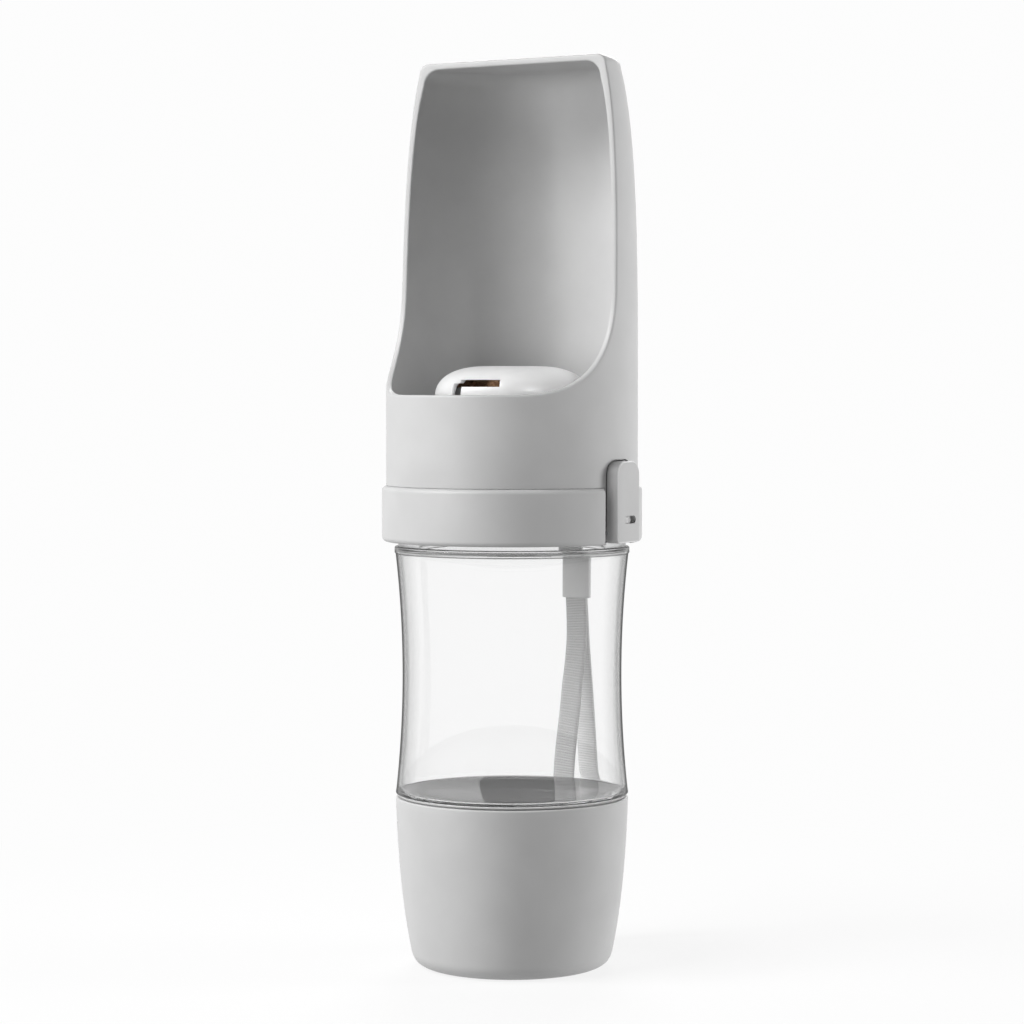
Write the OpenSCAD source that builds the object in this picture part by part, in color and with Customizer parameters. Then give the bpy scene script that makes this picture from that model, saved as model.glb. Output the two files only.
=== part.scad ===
// Dog travel water bottle: a food cup, a clear bottle and a drinking hood with a side lever.
// The underside of the cup lies on z = 0, the hood opens towards -Y and the lever is at +X.

/* [Food cup] */
// Height of the cup's rim above the table
cup_h = 50; // [40:0.2:70]
// How much the cup's radius grows from the rounded foot to the rim
cup_flare = 4.45; // [3:0.05:6]
// How much the radius grows from the flat underside to the top of the rounded foot
cup_foot_w = 6.6; // [5:0.1:9]
// Height of the rounded foot
cup_foot_h = 5; // [3:0.5:8]
// Wall thickness below the thread
cup_wall = 2.2; // [1.6:0.1:3]
// Floor thickness
cup_floor = 2.5; // [1.5:0.1:4]
// Wall thickness at the rim, where the thread sits
cup_rim_wall = 2.65; // [2.2:0.05:3]

/* [Bottle] */
// Height from the lower shoulder to the shoulder ring
bottle_h = 70.3; // [60:0.1:110]
// Depth of the waist
waist_depth = 1.99; // [0:0.01:4]
// Wall thickness
bottle_wall = 1.7; // [1.2:0.1:2.4]
// Floor thickness
bottle_floor = 1.8; // [1.2:0.1:3]
// How far the shoulder ring stands back from the collar's face
ring_inset = 3.65; // [3.2:0.05:4.2]
// How far the shoulder ring stands out of the bottle's wall
ring_proud = 0.3; // [0:0.05:0.9]
// Height of the shoulder ring
ring_h = 2; // [1.4:0.1:3]
// Height of the step that the collar hides
step_h = 1.9; // [1.7:0.1:2.6]
// How far the threaded neck stands back from the bottle's wall
neck_inset = 5.05; // [4.65:0.05:7]
// Height of the threaded neck
neck_h = 8; // [7.6:0.1:9]
// Height of the threaded spigot below the lower shoulder
spigot_h = 9.7; // [9:0.1:12]

/* [Threads and seals] */
// Rise of the thread in one turn
thread_lead = 4; // [3.6:0.1:4.4]
// Height of a thread ridge
thread_depth = 1.2; // [0.8:0.1:1.3]
// Width of a ridge at its root
thread_root_w = 1.9; // [1.4:0.1:2]
// Width of a ridge at its crest
thread_crest_w = 1; // [0.6:0.1:1.2]
// Radial clearance between ridge and wall
thread_clear = 0.3; // [0.2:0.05:0.5]
// Thickness of the gasket on the cup's rim
cup_gasket_t = 0.8; // [0.6:0.1:2]
// Thickness of the seal on the bottle's mouth
neck_seal_t = 1.1; // [0.8:0.1:1.8]
// Gap that is left at each face of a seal
seal_gap = 0.1; // [0.05:0.01:0.15]

/* [Collar cap] */
// Outer radius of the grey band
collar_r = 38; // [34:0.1:42]
// Thickness of the outer wall
collar_wall = 1.8; // [1.5:0.1:2]
// Thickness of the threaded inner wall
thread_wall = 1.8; // [1.4:0.1:2]
// Gap between the shoulder ring and the band's lower edge
collar_gap = 1.5; // [1:0.1:1.7]
// Thickness of the deck that closes the bottle
deck_t = 2.5; // [2:0.1:3]
// Depth of the socket that holds the scoop
socket_h = 4; // [3.4:0.1:5]
// Thickness of the wall round the socket
socket_wall = 2; // [1.9:0.05:2.3]

/* [Drinking scoop] */
// Height of the hood above the collar
scoop_h = 124; // [110:1:140]
// How far the scoop's wall stands back from the collar's face
scoop_inset = 1.25; // [1:0.05:1.5]
// How much the hood's radius shrinks from the lip to the top corner
hood_taper = 5.05; // [2.5:0.05:8]
// Height of the drinking lip above the collar
lip_h = 26.5; // [23:0.5:32]
// Height of the bowl's floor above the collar
bowl_h = 14; // [14:0.1:15]
// Thickness of the bowl's floor
bowl_floor = 2; // [1.5:0.1:2.2]
// Wall thickness of the hood
hood_wall = 1.9; // [1.5:0.1:2.2]

/* [Outlet] */
// Radius of the white outlet cover
cover_r = 22.5; // [22:0.1:25]
// Height of the cover above the bowl's floor
cover_h = 20.8; // [20.6:0.1:26]
// Height of the cover's rounded shoulder
cover_round = 8.8; // [8:0.1:9]
// Wall thickness of the cover
cover_wall = 1.4; // [1.2:0.1:1.6]
// Height of the outlet slot's upper edge below the cover's top
slot_drop = 4; // [3.6:0.1:6]
// Height of the outlet slot
slot_h = 2; // [1.5:0.1:3]
// Width of the outlet slot in degrees
slot_angle = 35.6; // [24:0.1:50]
// Width of the channel below the slot in degrees
channel_angle = 10; // [6:0.1:14]
// Inner radius of the filter basket
basket_r = 16.7; // [15.5:0.1:16.8]
// Wall thickness of the filter basket
basket_wall = 1.5; // [1.2:0.1:1.6]
// Height of the basket above the bowl's floor
basket_h = 14.6; // [12:0.1:14.8]
// Inner radius of the riser tube
riser_bore_r = 6.5; // [5:0.1:6.6]
// Wall thickness of the riser and its chamber
riser_wall = 1.5; // [1.2:0.1:1.6]

/* [Valve] */
// Distance of the valve from the bottle's axis
valve_x = 15; // [14.8:0.1:16]
// Radius of the hole in the deck
valve_hole_r = 5; // [4:0.1:5.2]
// Radius of the sealing disc
valve_disc_r = 7; // [6.6:0.1:8]
// Thickness of the sealing disc
valve_disc_t = 1.6; // [1.2:0.1:1.8]
// Radius of the valve's stem
stem_r = 2; // [1.6:0.1:2.1]
// Length of the valve spring at rest
spring_l = 4.3; // [4.2:0.1:4.5]
// Radius of the spring's wire
spring_wire_r = 0.25; // [0.2:0.01:0.28]

/* [Lever] */
// Width of the lever's pad
pad_w = 12.8; // [12:0.1:13.4]
// Height of the pad
pad_h = 23.3; // [22.5:0.1:23.6]
// How far the pad's face stands out of the collar's face
pad_proud = 1.65; // [1.4:0.05:3]
// Thickness of the pad
pad_t = 3.75; // [3.5:0.05:3.8]
// Radius of the pad's upper corners
pad_corner_r = 4; // [2:0.1:6]
// Gap beside the pad in its pocket
pocket_gap = 1.1; // [0.8:0.1:1.2]
// Extra gap on the side that faces the hood's opening
pocket_side = 1.2; // [0:0.1:1.4]
// Gap above the pad
pocket_roof = 0.6; // [0.5:0.1:1.2]
// Radius of the steel pin
pin_r = 0.75; // [0.6:0.05:0.8]
// Width of the lever arm
arm_w = 5; // [4:0.1:5.4]

/* [Strap] */
// Width of the webbing
strap_w = 7.2; // [6:0.1:8]
// Thickness of the webbing
strap_t = 0.9; // [0.6:0.1:0.95]
// Width of the ferrule
sleeve_w = 10.1; // [9:0.1:11]
// Thickness of the ferrule
sleeve_t = 3.1; // [3:0.1:4]
// Length of the ferrule
sleeve_l = 16; // [12:0.5:18]
// Radius of the eyelet cord
loop_r = 0.7; // [0.5:0.05:0.75]

/* [Hidden] */
$fn = 96;

// How far every cut runs past what it cuts
over = 1;
// Running clearance of pins and stems
run_gap = 0.07;
// Clearance of parts that are pushed together and stay
fit_gap = 0.1;
// Clearance of parts that move past each other
free_gap = 0.3;
// How deep a ridge bites into the wall that carries it
bite = 0.4;
// Steps of one curve
curve_steps = 14;

// Levels of the stack, from the table upwards
shoulder_z = cup_h + 2 * seal_gap + cup_gasket_t;
ring_z = shoulder_z + bottle_h;
ring_top = ring_z + ring_h;
step_top = ring_top + step_h;
neck_top = step_top + neck_h;
deck_z = neck_top + 2 * seal_gap + neck_seal_t;
deck_top = deck_z + deck_t;
collar_z = ring_top + collar_gap;
collar_top = deck_top + socket_h;
hood_top = collar_top + scoop_h;
lip_z = collar_top + lip_h;
bowl_z = collar_top + bowl_h;
cover_z = bowl_z + free_gap;
cover_top = bowl_z + cover_h;

// Radii of the outline, all counted from the collar's face
ring_r = collar_r - ring_inset;
bottle_end_r = ring_r - ring_proud;
bottle_waist_r = bottle_end_r - waist_depth;
neck_r = bottle_end_r - neck_inset;
cup_rim_r = bottle_end_r;
cup_foot_r = cup_rim_r - cup_flare;
cup_base_r = cup_foot_r - cup_foot_w;
socket_r = collar_r - socket_wall;
scoop_spigot_r = socket_r - fit_gap;
scoop_r = collar_r - scoop_inset;
hood_top_r = scoop_r - hood_taper;
pad_x = collar_r + pad_proud;

// Radii and levels of the two threads
cup_bore_r = cup_rim_r - cup_rim_wall;
spigot_r = cup_bore_r - thread_clear - thread_depth;
cap_bore_r = neck_r + thread_depth + thread_clear;
cap_wall_r = cap_bore_r + thread_wall;
step_inset_share = 0.35;
step_r = bottle_end_r - step_inset_share * ring_h;
neck_wall = bottle_wall;
thread_turns = 1.25;
// The loaded flank of a ridge lies this far below its mate, as a share of the lead
mesh_share = 0.4125;
cap_thread_start = 135;
spigot_thread_start = 120;
thread_drop = mesh_share * thread_lead;
neck_rise_share = 0.9;
cup_rise_share = 1.5;
neck_thread_z = step_top + neck_rise_share * thread_root_w;
thread_foot = cup_h - spigot_h;
cup_thread_z = thread_foot + cup_rise_share * thread_root_w;

// Food cup
cup_mid_r_share = 0.191;
cup_mid_z_share = 0.383;
cup_mid_r = cup_rim_r - cup_mid_r_share * cup_flare;
cup_mid_z = cup_foot_h + cup_mid_z_share * (cup_h - cup_foot_h);
rim_round = cup_rim_wall / 5;

// Collar
collar_round = 0.8 * collar_wall;
collar_in_r = collar_r - collar_wall;
skirt_lift = thread_wall * 4 / 9;
seat_lip_h = 0.4;
seat_lip_w = 0.8;
bead_h = 1;
bead_depth = 0.35;
bead_z = deck_top + socket_h / 3;

// Scoop
hood_round = 3;
hood_bend = 5;
bowl_round = 3;
scoop_wall = scoop_r - scoop_spigot_r + hood_wall;
scoop_in_r = scoop_r - hood_wall;
chamber_in_r = scoop_r - scoop_wall;
// The top corner starts at this angle
corner_start = 15;
// Handles of the curve that narrows the hood, as shares of its height over the lip
handle_low_share = 0.385;
handle_high_share = 0.226;
// The hood's outline above the lip, as shares of the radius and of the height over the lip
rim_y_share = [-0.816, -0.463, -0.114, -0.082];
rim_z_share = [0, 0.007, 0.108, 0.303];
rim_top_share = -0.016;

// Outlet
basket_out_r = basket_r + basket_wall;
riser_r = riser_bore_r + riser_wall;
lug_h = 1.4;
lug_angle = 24;
lug_count = 3;
lug_start = 30;
lug_r = cover_r - cover_wall - 2 * free_gap;
tab_z = cover_z + lug_h;
lug_z = tab_z + lug_h + free_gap;
cartridge_r = basket_r - free_gap;
cartridge_z = bowl_z + basket_wall;
filter_cap_t = 0.8;
// Handles of the curve of the cover's shoulder, as shares of its height and of the cover's radius
cover_rise_share = 0.68;
cover_reach_share = 0.711;
cover_flat_share = 0.356;
cover_flat_r = cover_flat_share * cover_r;
cover_outside = cubic_line([[cover_r, cover_top - cover_round],
    [cover_r, cover_top - (1 - cover_rise_share) * cover_round],
    [cover_reach_share * cover_r, cover_top], [cover_flat_r, cover_top]]);
cover_inside = cubic_line([[cover_r - cover_wall, cover_top - cover_round],
    [cover_r - cover_wall, cover_top - (1 - cover_rise_share) * cover_round - cover_wall / 3],
    [cover_reach_share * cover_r - 4 / 3 * cover_wall, cover_top - cover_wall],
    [cover_flat_r, cover_top - cover_wall]]);
filter_top = lookup(cartridge_r, flip(cover_inside)) - free_gap - filter_cap_t;
core_r = riser_r + 4 * fit_gap;
slot_top = cover_top - slot_drop;
// The slot starts at this angle, counted from +X, and the channel lies before it
slot_start = -104;
channel_overlap = 4;

// Valve
riser_gasket_t = 0.8;
chamber_z = deck_top + riser_gasket_t;
chamber_h = 5.2;
roof_z = chamber_z + chamber_h;
chamber_r = valve_disc_r + riser_wall;
gland_r = 5;
gland_h = 3.6;
ring_wire_r = 0.66;
ring_level_share = 0.55;
ring_level = gland_h * ring_level_share;
disc_gap = 0.15;
disc_top = deck_z - seat_lip_h - disc_gap;
disc_z = disc_top - valve_disc_t;
foot_t = 1.2;
foot_r = 2 * stem_r;
stem_cap_r = 3.6;
stem_cap_t = 1.8;
stem_cap_z = roof_z + spring_l;
press_z = stem_cap_z + stem_cap_t;
flange_lip = 2;
flange_r = riser_r + flange_lip;
flange_t = 1.4;
bowl_gasket_t = 0.8;
flange_z = bowl_z - bowl_floor - bowl_gasket_t - flange_t;
spring_turns = 2.5;
spring_r = stem_cap_r - 2.4 * spring_wire_r;
spring_steps = 40;
wire_sides = 6;

// Lever, whose pad hangs in its pocket on the pin
pad_y = -1;
pad_lift = 0.5;
pad_z = collar_z + pad_lift;
pad_top = pad_z + pad_h;
pad_back = pad_x - pad_t;
pad_bevel = 0.6;
pad_foot_r = 1;
pin_inset = 0.5;
pin_lift = 2.9;
pin_x = pad_back - pin_inset;
pin_z = pad_z + pin_lift;
barrel_wall = 0.95;
barrel_r = pin_r + barrel_wall;
pocket_x = pin_x - barrel_r - pin_inset;
pocket_w = pad_w + 2 * pocket_gap + pocket_side;
pocket_y = pad_y - pocket_side / 2;
pocket_top = pad_top + pocket_roof;
pocket_wall = 1.4;

// Arm, from the plate on the pad's back through the window to the valve
nose_r = 1;
nose_z = press_z + free_gap + nose_r;
arm_t = 2.4;
plate_t = 0.9;
plate_z = pin_z + barrel_r + free_gap;
arm_drop = 2;
arm_root_t = 3.8;
arm_top = pad_top - arm_drop;
arm_low = arm_top - arm_root_t;
arm_knee = 2;
arm_slope = 4;
bar_drop_share = 0.25;
window_play = 1;
window_w = arm_w + 4 * free_gap;
window_z = arm_low - window_play;
window_top = arm_top + window_play;
screw_r = 0.8;
screw_head_r = 1.5;
screw_l = 3.3;
screw_lift = 5.8;
screw_levels = [plate_z + screw_lift, arm_top - arm_root_t / 2];

// Lock slider, its slot in the pad and the notch that takes its end
slot_w = 6.5;
slot_t = 2.25;
slot_lift = 5.45;
slot_inset = 2.6;
slot_low = [pad_y - slot_inset, pad_z + slot_lift];
lock_gap = 0.15;
lock_t = 0.8;
lock_bed = lock_t + 2 * lock_gap;
lock_lap = 0.3;
lock_tail = 1.5;
lock_inset = 0.5;
knob_w = 2.25;
knob_sink = 0.75;
lock_y = [slot_low[0] - lock_tail, pad_y + pad_w / 2 - lock_inset];
lock_z = [slot_low[1] - lock_lap, slot_low[1] + slot_t + lock_lap];
notch_depth = 1;
notch_play = 0.55;
notch_back = 0.6;
notch_front = 0.1;

// Strap anchor, eyelet cord and ferrule
anchor_t = 2.4;
anchor_wall = 1.3;
anchor_reach = 0.6;
anchor_lift = 2.4;
eye_r = loop_r + fit_gap;
anchor_r = eye_r + anchor_wall;
anchor_y = collar_r + eye_r + anchor_reach;
anchor_z = collar_z + anchor_lift;
anchor_h = 3.5;
anchor_low = anchor_z - anchor_h / 2 + fit_gap;
clip_w = 6;
clip_t = 1.2;
leg_x = anchor_t / 2 + free_gap + loop_r;
bend_r = 1.2;
sleeve_drop = 5.4;
sleeve_top = anchor_z - sleeve_drop;
sleeve_z = sleeve_top - sleeve_l;
sleeve_y = anchor_y - fit_gap;
leg_depth = 4;
strap_pocket = 5;
strap_corner = 0.25;
// The webbing's route, chosen by hand, from the ferrule down, round and back
route = [[0, 38.8, 108.8], [0, 38.8, 105.8], [0.5, 38.4, 100], [0.9, 37.7, 93],
    [0.7, 36.9, 86], [0.1, 36.2, 79], [-0.5, 35.7, 71], [-1.5, 35.5, 63], [-2.3, 35.4, 55],
    [-2.8, 35.5, 45], [-3, 36, 35], [-2.9, 36.9, 25], [-2.6, 38.7, 17], [-2.2, 41.3, 11.5],
    [-1.7, 44.6, 9.5], [-1.3, 47.6, 12], [-1, 49.9, 18], [-0.8, 50.9, 26], [-0.6, 50.9, 35],
    [-0.5, 49.7, 45], [-0.2, 47.6, 55], [0.2, 45.9, 63], [0.4, 44.4, 71], [0.5, 43, 79],
    [0.4, 41.9, 86], [0.3, 40.9, 93], [0.2, 40.25, 100], [0, 39.8, 105.8], [0, 39.8, 108.8]];
route_steps = 2;

// A point on a curve with two end points and two handles, and with one handle
function cubic(p, t) = p[0] * pow(1 - t, 3) + 3 * p[1] * t * pow(1 - t, 2)
    + 3 * p[2] * t * t * (1 - t) + p[3] * t * t * t;
function quadratic(p, t) = p[0] * pow(1 - t, 2) + 2 * p[1] * t * (1 - t) + p[2] * t * t;
function cubic_line(p) = [for (i = [0:curve_steps]) cubic(p, i / curve_steps)];
function quadratic_line(p) = [for (i = [0:curve_steps]) quadratic(p, i / curve_steps)];
function arc(c, r, a0, a1, n = 6) =
    [for (i = [0:n]) let (a = a0 + (a1 - a0) * i / n) c + r * [cos(a), sin(a)]];
function flip(list) = [for (i = [len(list) - 1:-1:0]) list[i]];
function unit(v) = v / norm(v);

// A skin over rings that all have the same number of points
module skin(rings) {
    n = len(rings);
    m = len(rings[0]);
    polyhedron(
        points = [for (ring = rings) for (p = ring) p],
        faces = concat(
            [for (i = [0:n - 2]) for (j = [0:m - 1]) for (k = [0, 1])
                let (a = i * m + j, b = i * m + (j + 1) % m)
                    k == 0 ? [a, b, b + m] : [a, b + m, a + m]],
            [for (j = [1:m - 2]) [0, j + 1, j]],
            [for (j = [1:m - 2]) let (e = (n - 1) * m) [e, e + j, e + j + 1]]));
}

// A thread ridge on a wall of radius root_r, outwards or inwards
module ridge(root_r, z, start, outwards = true) {
    way = outwards ? 1 : -1;
    root = root_r - way * bite;
    crest = root_r + way * thread_depth;
    half_root = thread_root_w / 2;
    half_crest = thread_crest_w / 2;
    loop = [[root, -half_root], [crest, -half_crest], [crest, half_crest], [root, half_root]];
    section = outwards ? loop : flip(loop);
    n = 45;
    skin([for (i = [0:n]) let (a = start + 360 * thread_turns * i / n)
        [for (s = section) [s[0] * cos(a), s[0] * sin(a), z + s[1] + thread_lead * a / 360]]]);
}

// A flat ring between two radii
module washer(inner_r, outer_r, z, t) {
    translate([0, 0, z])
        rotate_extrude()
            translate([inner_r, 0])
                square([outer_r - inner_r, t]);
}

// A block with two round ends from the riser's axis to the valve's axis
module link_block(r, z, h) {
    translate([0, 0, z])
        linear_extrude(h)
            union() {
                circle(r);
                translate([valve_x, 0])
                    circle(r);
                translate([0, -r])
                    square([valve_x, 2 * r]);
            }
}

// The pad's outline with its lower edge at the origin, with y across and z up
module pad_outline(w, h, top_r, foot_r) {
    half = w / 2;
    polygon(concat(
        arc([half - foot_r, foot_r], foot_r, -90, 0),
        arc([half - top_r, h - top_r], top_r, 0, 90),
        arc([top_r - half, h - top_r], top_r, 90, 180),
        arc([foot_r - half, foot_r], foot_r, 180, 270)));
}

// Turns an outline in y and z into a plate from x0 to x1
module plate_x(x0, x1) {
    translate([x0, 0, 0])
        rotate([90, 0, 90])
            linear_extrude(x1 - x0)
                children();
}

// Turns an outline in x and z into a plate across y
module plate_y(y0, y1) {
    translate([0, y1, 0])
        rotate([90, 0, 0])
            linear_extrude(y1 - y0)
                children();
}

// The space that the pad moves in
module pocket(z0) {
    intersection() {
        plate_x(pocket_x, pad_x + over)
            translate([pocket_y, pad_z - over])
                pad_outline(pocket_w, pocket_top - pad_z + over, pad_corner_r + pocket_gap, pad_foot_r);
        translate([0, -collar_r, z0])
            cube([pad_x + 2 * over, 2 * collar_r, hood_top]);
    }
}

module food_cup() {
    outer = concat([[0, 0]],
        quadratic_line([[cup_base_r, 0], [cup_foot_r - (cup_foot_r - cup_base_r) / 9, 0],
            [cup_foot_r, cup_foot_h]]),
        quadratic_line([[cup_foot_r, cup_foot_h], [cup_mid_r, cup_mid_z], [cup_rim_r, cup_h - rim_round]]),
        arc([cup_rim_r - rim_round, cup_h - rim_round], rim_round, 0, 90));
    inner = concat(
        [[cup_bore_r, cup_h], [cup_bore_r, thread_foot]],
        flip(quadratic_line([[cup_foot_r - cup_wall, cup_foot_h + cup_floor],
            [cup_mid_r - cup_wall, cup_mid_z], [cup_bore_r, thread_foot - cup_wall]])),
        flip(quadratic_line([[cup_base_r, cup_floor], [cup_foot_r - cup_wall, cup_floor],
            [cup_foot_r - cup_wall, cup_foot_h + cup_floor]])),
        [[0, cup_floor]]);
    color("silver")
        union() {
            rotate_extrude()
                polygon(concat(outer, inner));
            ridge(cup_bore_r, cup_thread_z, 0, false);
        }
}

module cup_gasket() {
    color("dimgray")
        washer(cup_bore_r + fit_gap, cup_rim_r - rim_round, cup_h + seal_gap, cup_gasket_t);
}

// Where the inside's lower corner meets the waisted wall, as a share of its height
foot_share = 0.05;

// Radius of the waisted wall at a share of its height
function waist(s) = bottle_waist_r + waist_depth * pow(2 * s - 1, 2);

module bottle_body() {
    edge = bottle_wall / 2;
    n = 2 * curve_steps;
    wall_line = [for (i = [1:n - 1]) [waist(i / n), shoulder_z + bottle_h * i / n]];
    mouth_r = neck_r - neck_wall;
    spigot_in_r = spigot_r - bottle_wall;
    outer = concat(
        [[spigot_in_r, shoulder_z - spigot_h], [spigot_r, shoulder_z - spigot_h], [spigot_r, shoulder_z]],
        arc([bottle_end_r - edge, shoulder_z + edge], edge, -90, 0),
        wall_line,
        [[bottle_end_r, ring_z]],
        arc([ring_r - edge, ring_z + edge], edge, -60, 0, 3),
        arc([ring_r - edge, ring_top - edge], edge, 0, 90, 4),
        [[step_r, ring_top], [step_r, step_top], [neck_r, step_top]],
        arc([neck_r - edge / 2, neck_top - edge / 2], edge / 2, 0, 90, 3));
    inner = concat(
        [[mouth_r, neck_top], [mouth_r, step_top - bottle_wall]],
        arc([bottle_end_r - 3 * bottle_wall, ring_z - bottle_wall], 2 * bottle_wall, 80, 0, 5),
        flip([for (i = [3:n - 2]) [waist(i / n) - bottle_wall, shoulder_z + bottle_h * i / n]]),
        arc([waist(foot_share) - 3 * bottle_wall, shoulder_z + bottle_floor + 2 * bottle_wall],
            2 * bottle_wall, 0, -90, 5),
        [[0, shoulder_z + bottle_floor], [0, shoulder_z], [spigot_in_r, shoulder_z]]);
    color("aliceblue", 0.4)
        union() {
            rotate_extrude()
                polygon(concat(outer, inner));
            ridge(neck_r, neck_thread_z, 0);
            ridge(spigot_r, cup_thread_z - thread_drop, spigot_thread_start);
        }
}

module neck_seal() {
    color("whitesmoke")
        washer(neck_r - neck_wall + fit_gap, cap_bore_r - free_gap, neck_top + seal_gap, neck_seal_t);
}

module collar_cap() {
    skirt_z = collar_z + skirt_lift;
    profile = concat(
        [[0, deck_z], [cap_bore_r, deck_z], [cap_bore_r, skirt_z], [cap_wall_r, skirt_z],
            [cap_wall_r, deck_z], [collar_in_r, deck_z], [collar_in_r, collar_z]],
        arc([collar_r - collar_round, collar_z + collar_round], collar_round, -90, 0),
        arc([collar_r - collar_round, collar_top - collar_round], collar_round, 0, 90),
        [[socket_r, collar_top], [socket_r, deck_top], [0, deck_top]]);
    block_w = pocket_w + 2 * pocket_wall;
    color("silver")
        difference() {
            union() {
                rotate_extrude()
                    polygon(profile);
                ridge(cap_bore_r, neck_thread_z - thread_drop, cap_thread_start, false);
                translate([valve_x, 0, 0])
                    washer(valve_hole_r, valve_hole_r + seat_lip_w, deck_z - seat_lip_h,
                        seat_lip_h + bite);
                intersection() {
                    translate([cap_bore_r + bite, pocket_y - block_w / 2, skirt_z])
                        cube([collar_r, block_w, deck_top - skirt_z]);
                    translate([0, 0, collar_z])
                        cylinder(r = collar_r - collar_wall / 2, h = collar_top - collar_z);
                }
            }
            translate([valve_x, 0, deck_z - seat_lip_h - over])
                cylinder(r = valve_hole_r, h = deck_t + seat_lip_h + 2 * over);
            pocket(collar_z - over);
            translate([pin_x, pocket_y + pocket_w / 2 + pocket_wall, pin_z])
                rotate([90, 0, 0])
                    cylinder(r = pin_r, h = block_w);
            translate([pad_back - notch_back, pad_y, lock_z[0] - notch_play])
                cube([notch_back + lock_gap + lock_t + notch_front, pocket_y - pad_y + pocket_w / 2 + notch_depth,
                    lock_z[1] - lock_z[0] + 2 * notch_play]);
            translate([-anchor_t / 2 - fit_gap / 2, collar_in_r - over, anchor_low])
                cube([anchor_t + fit_gap, collar_wall + 2 * over, anchor_h]);
            washer(socket_r - over, socket_r + bead_depth, bead_z - fit_gap, bead_h + 2 * fit_gap);
        }
}

module drinking_scoop() {
    rise = hood_top - lip_z;
    foot_z = deck_top + free_gap;
    corner = hood_top - hood_round;
    inner_corner = hood_top - hood_wall - hood_bend;
    bend_r_in = hood_top_r - hood_wall;
    handle_low = lip_z + handle_low_share * rise;
    handle_high = hood_top - handle_high_share * rise;
    outer = concat(
        [[chamber_in_r, foot_z], [scoop_spigot_r, foot_z], [scoop_spigot_r, collar_top],
            [scoop_r, collar_top]],
        cubic_line([[scoop_r, lip_z], [scoop_r, handle_low], [scoop_r - hood_wall / 12, handle_high],
            [hood_top_r, corner]]),
        arc([hood_top_r - hood_round, corner], hood_round, corner_start, 90),
        [[0, hood_top]]);
    inner = concat(
        [[0, hood_top - hood_wall]],
        arc([bend_r_in - hood_bend, inner_corner], hood_bend, 90, corner_start),
        flip(cubic_line([[scoop_in_r, lip_z], [scoop_in_r, handle_low],
            [scoop_in_r - hood_wall / 12, handle_high], [bend_r_in, inner_corner]])),
        arc([scoop_in_r - bowl_round, bowl_z + bowl_round], bowl_round, 0, -90),
        [[riser_r + free_gap, bowl_z], [riser_r + free_gap, bowl_z - bowl_floor],
            [chamber_in_r, bowl_z - bowl_floor]]);
    rim_curve = [for (i = [0:3]) [scoop_r * rim_y_share[i], lip_z + rise * rim_z_share[i]]];
    rim_top = scoop_r * rim_top_share;
    block_w = pocket_w + 2 * pocket_wall;
    color("silver")
        difference() {
            union() {
                rotate_extrude()
                    polygon(concat(outer, inner));
                intersection() {
                    translate([pocket_x - pocket_wall, pocket_y - block_w / 2, foot_z])
                        cube([scoop_r, block_w, bowl_z - bowl_floor / 2 - foot_z]);
                    translate([0, 0, foot_z])
                        cylinder(r = scoop_spigot_r, h = bowl_z - foot_z);
                }
                washer(scoop_spigot_r - bite, scoop_spigot_r + bead_depth, bead_z, bead_h);
            }
            plate_x(-collar_r, collar_r)
                polygon(concat(
                    [[-collar_r, lip_z]],
                    cubic_line(rim_curve),
                    [[rim_top, hood_top], [rim_top, hood_top + over], [-collar_r, hood_top + over]]));
            pocket(foot_z - over);
            translate([pocket_x - pocket_wall - over, -window_w / 2, window_z])
                cube([pocket_wall + 2 * over, window_w, window_top - window_z]);
        }
}

module bowl_gasket() {
    color("whitesmoke")
        washer(riser_r + fit_gap, flange_r - fit_gap * 2, bowl_z - bowl_floor - bowl_gasket_t, bowl_gasket_t);
}

module outlet_riser() {
    top_z = bowl_z + basket_h / 2;
    color("gainsboro")
        difference() {
            union() {
                link_block(chamber_r, chamber_z, chamber_h);
                translate([0, 0, roof_z - riser_wall])
                    cylinder(r = riser_r, h = top_z - roof_z + riser_wall);
                translate([0, 0, flange_z])
                    cylinder(r = flange_r, h = flange_t);
            }
            difference() {
                link_block(chamber_r - riser_wall, chamber_z - over, chamber_h - riser_wall + over);
                translate([valve_x, 0, roof_z - gland_h])
                    cylinder(r = gland_r, h = gland_h);
            }
            translate([0, 0, chamber_z])
                cylinder(r = riser_bore_r, h = top_z - chamber_z + over);
            translate([valve_x, 0, chamber_z])
                cylinder(r = stem_r + run_gap, h = chamber_h + over);
            translate([0, 0, roof_z - ring_level - ring_wire_r])
                translate([valve_x, 0, 0])
                    cylinder(r = stem_r + run_gap + 2 * ring_wire_r, h = 2 * ring_wire_r);
        }
}

module riser_gasket() {
    color("whitesmoke")
        difference() {
            link_block(chamber_r, deck_top, riser_gasket_t);
            link_block(chamber_r - riser_wall, deck_top - over, riser_gasket_t + 2 * over);
        }
}

// Lugs or tabs at equal steps round the axis
module lugs(inner_r, outer_r, z) {
    for (i = [0:lug_count - 1])
        translate([0, 0, z])
            rotate(lug_start + i * 360 / lug_count - lug_angle / 2)
                rotate_extrude(angle = lug_angle)
                    translate([inner_r, 0])
                        square([outer_r - inner_r, lug_h]);
}

module filter_basket() {
    color("gray")
        union() {
            washer(riser_r + fit_gap, basket_out_r, bowl_z, basket_wall);
            washer(basket_r, basket_out_r, bowl_z, basket_h);
            lugs(basket_out_r - basket_wall / 2, lug_r, lug_z);
        }
}

module filter_cartridge() {
    color("peru")
        washer(core_r, cartridge_r, cartridge_z, filter_top - cartridge_z);
}

module filter_cap() {
    color("white")
        translate([0, 0, filter_top])
            cylinder(r = cartridge_r, h = filter_cap_t);
}

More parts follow.
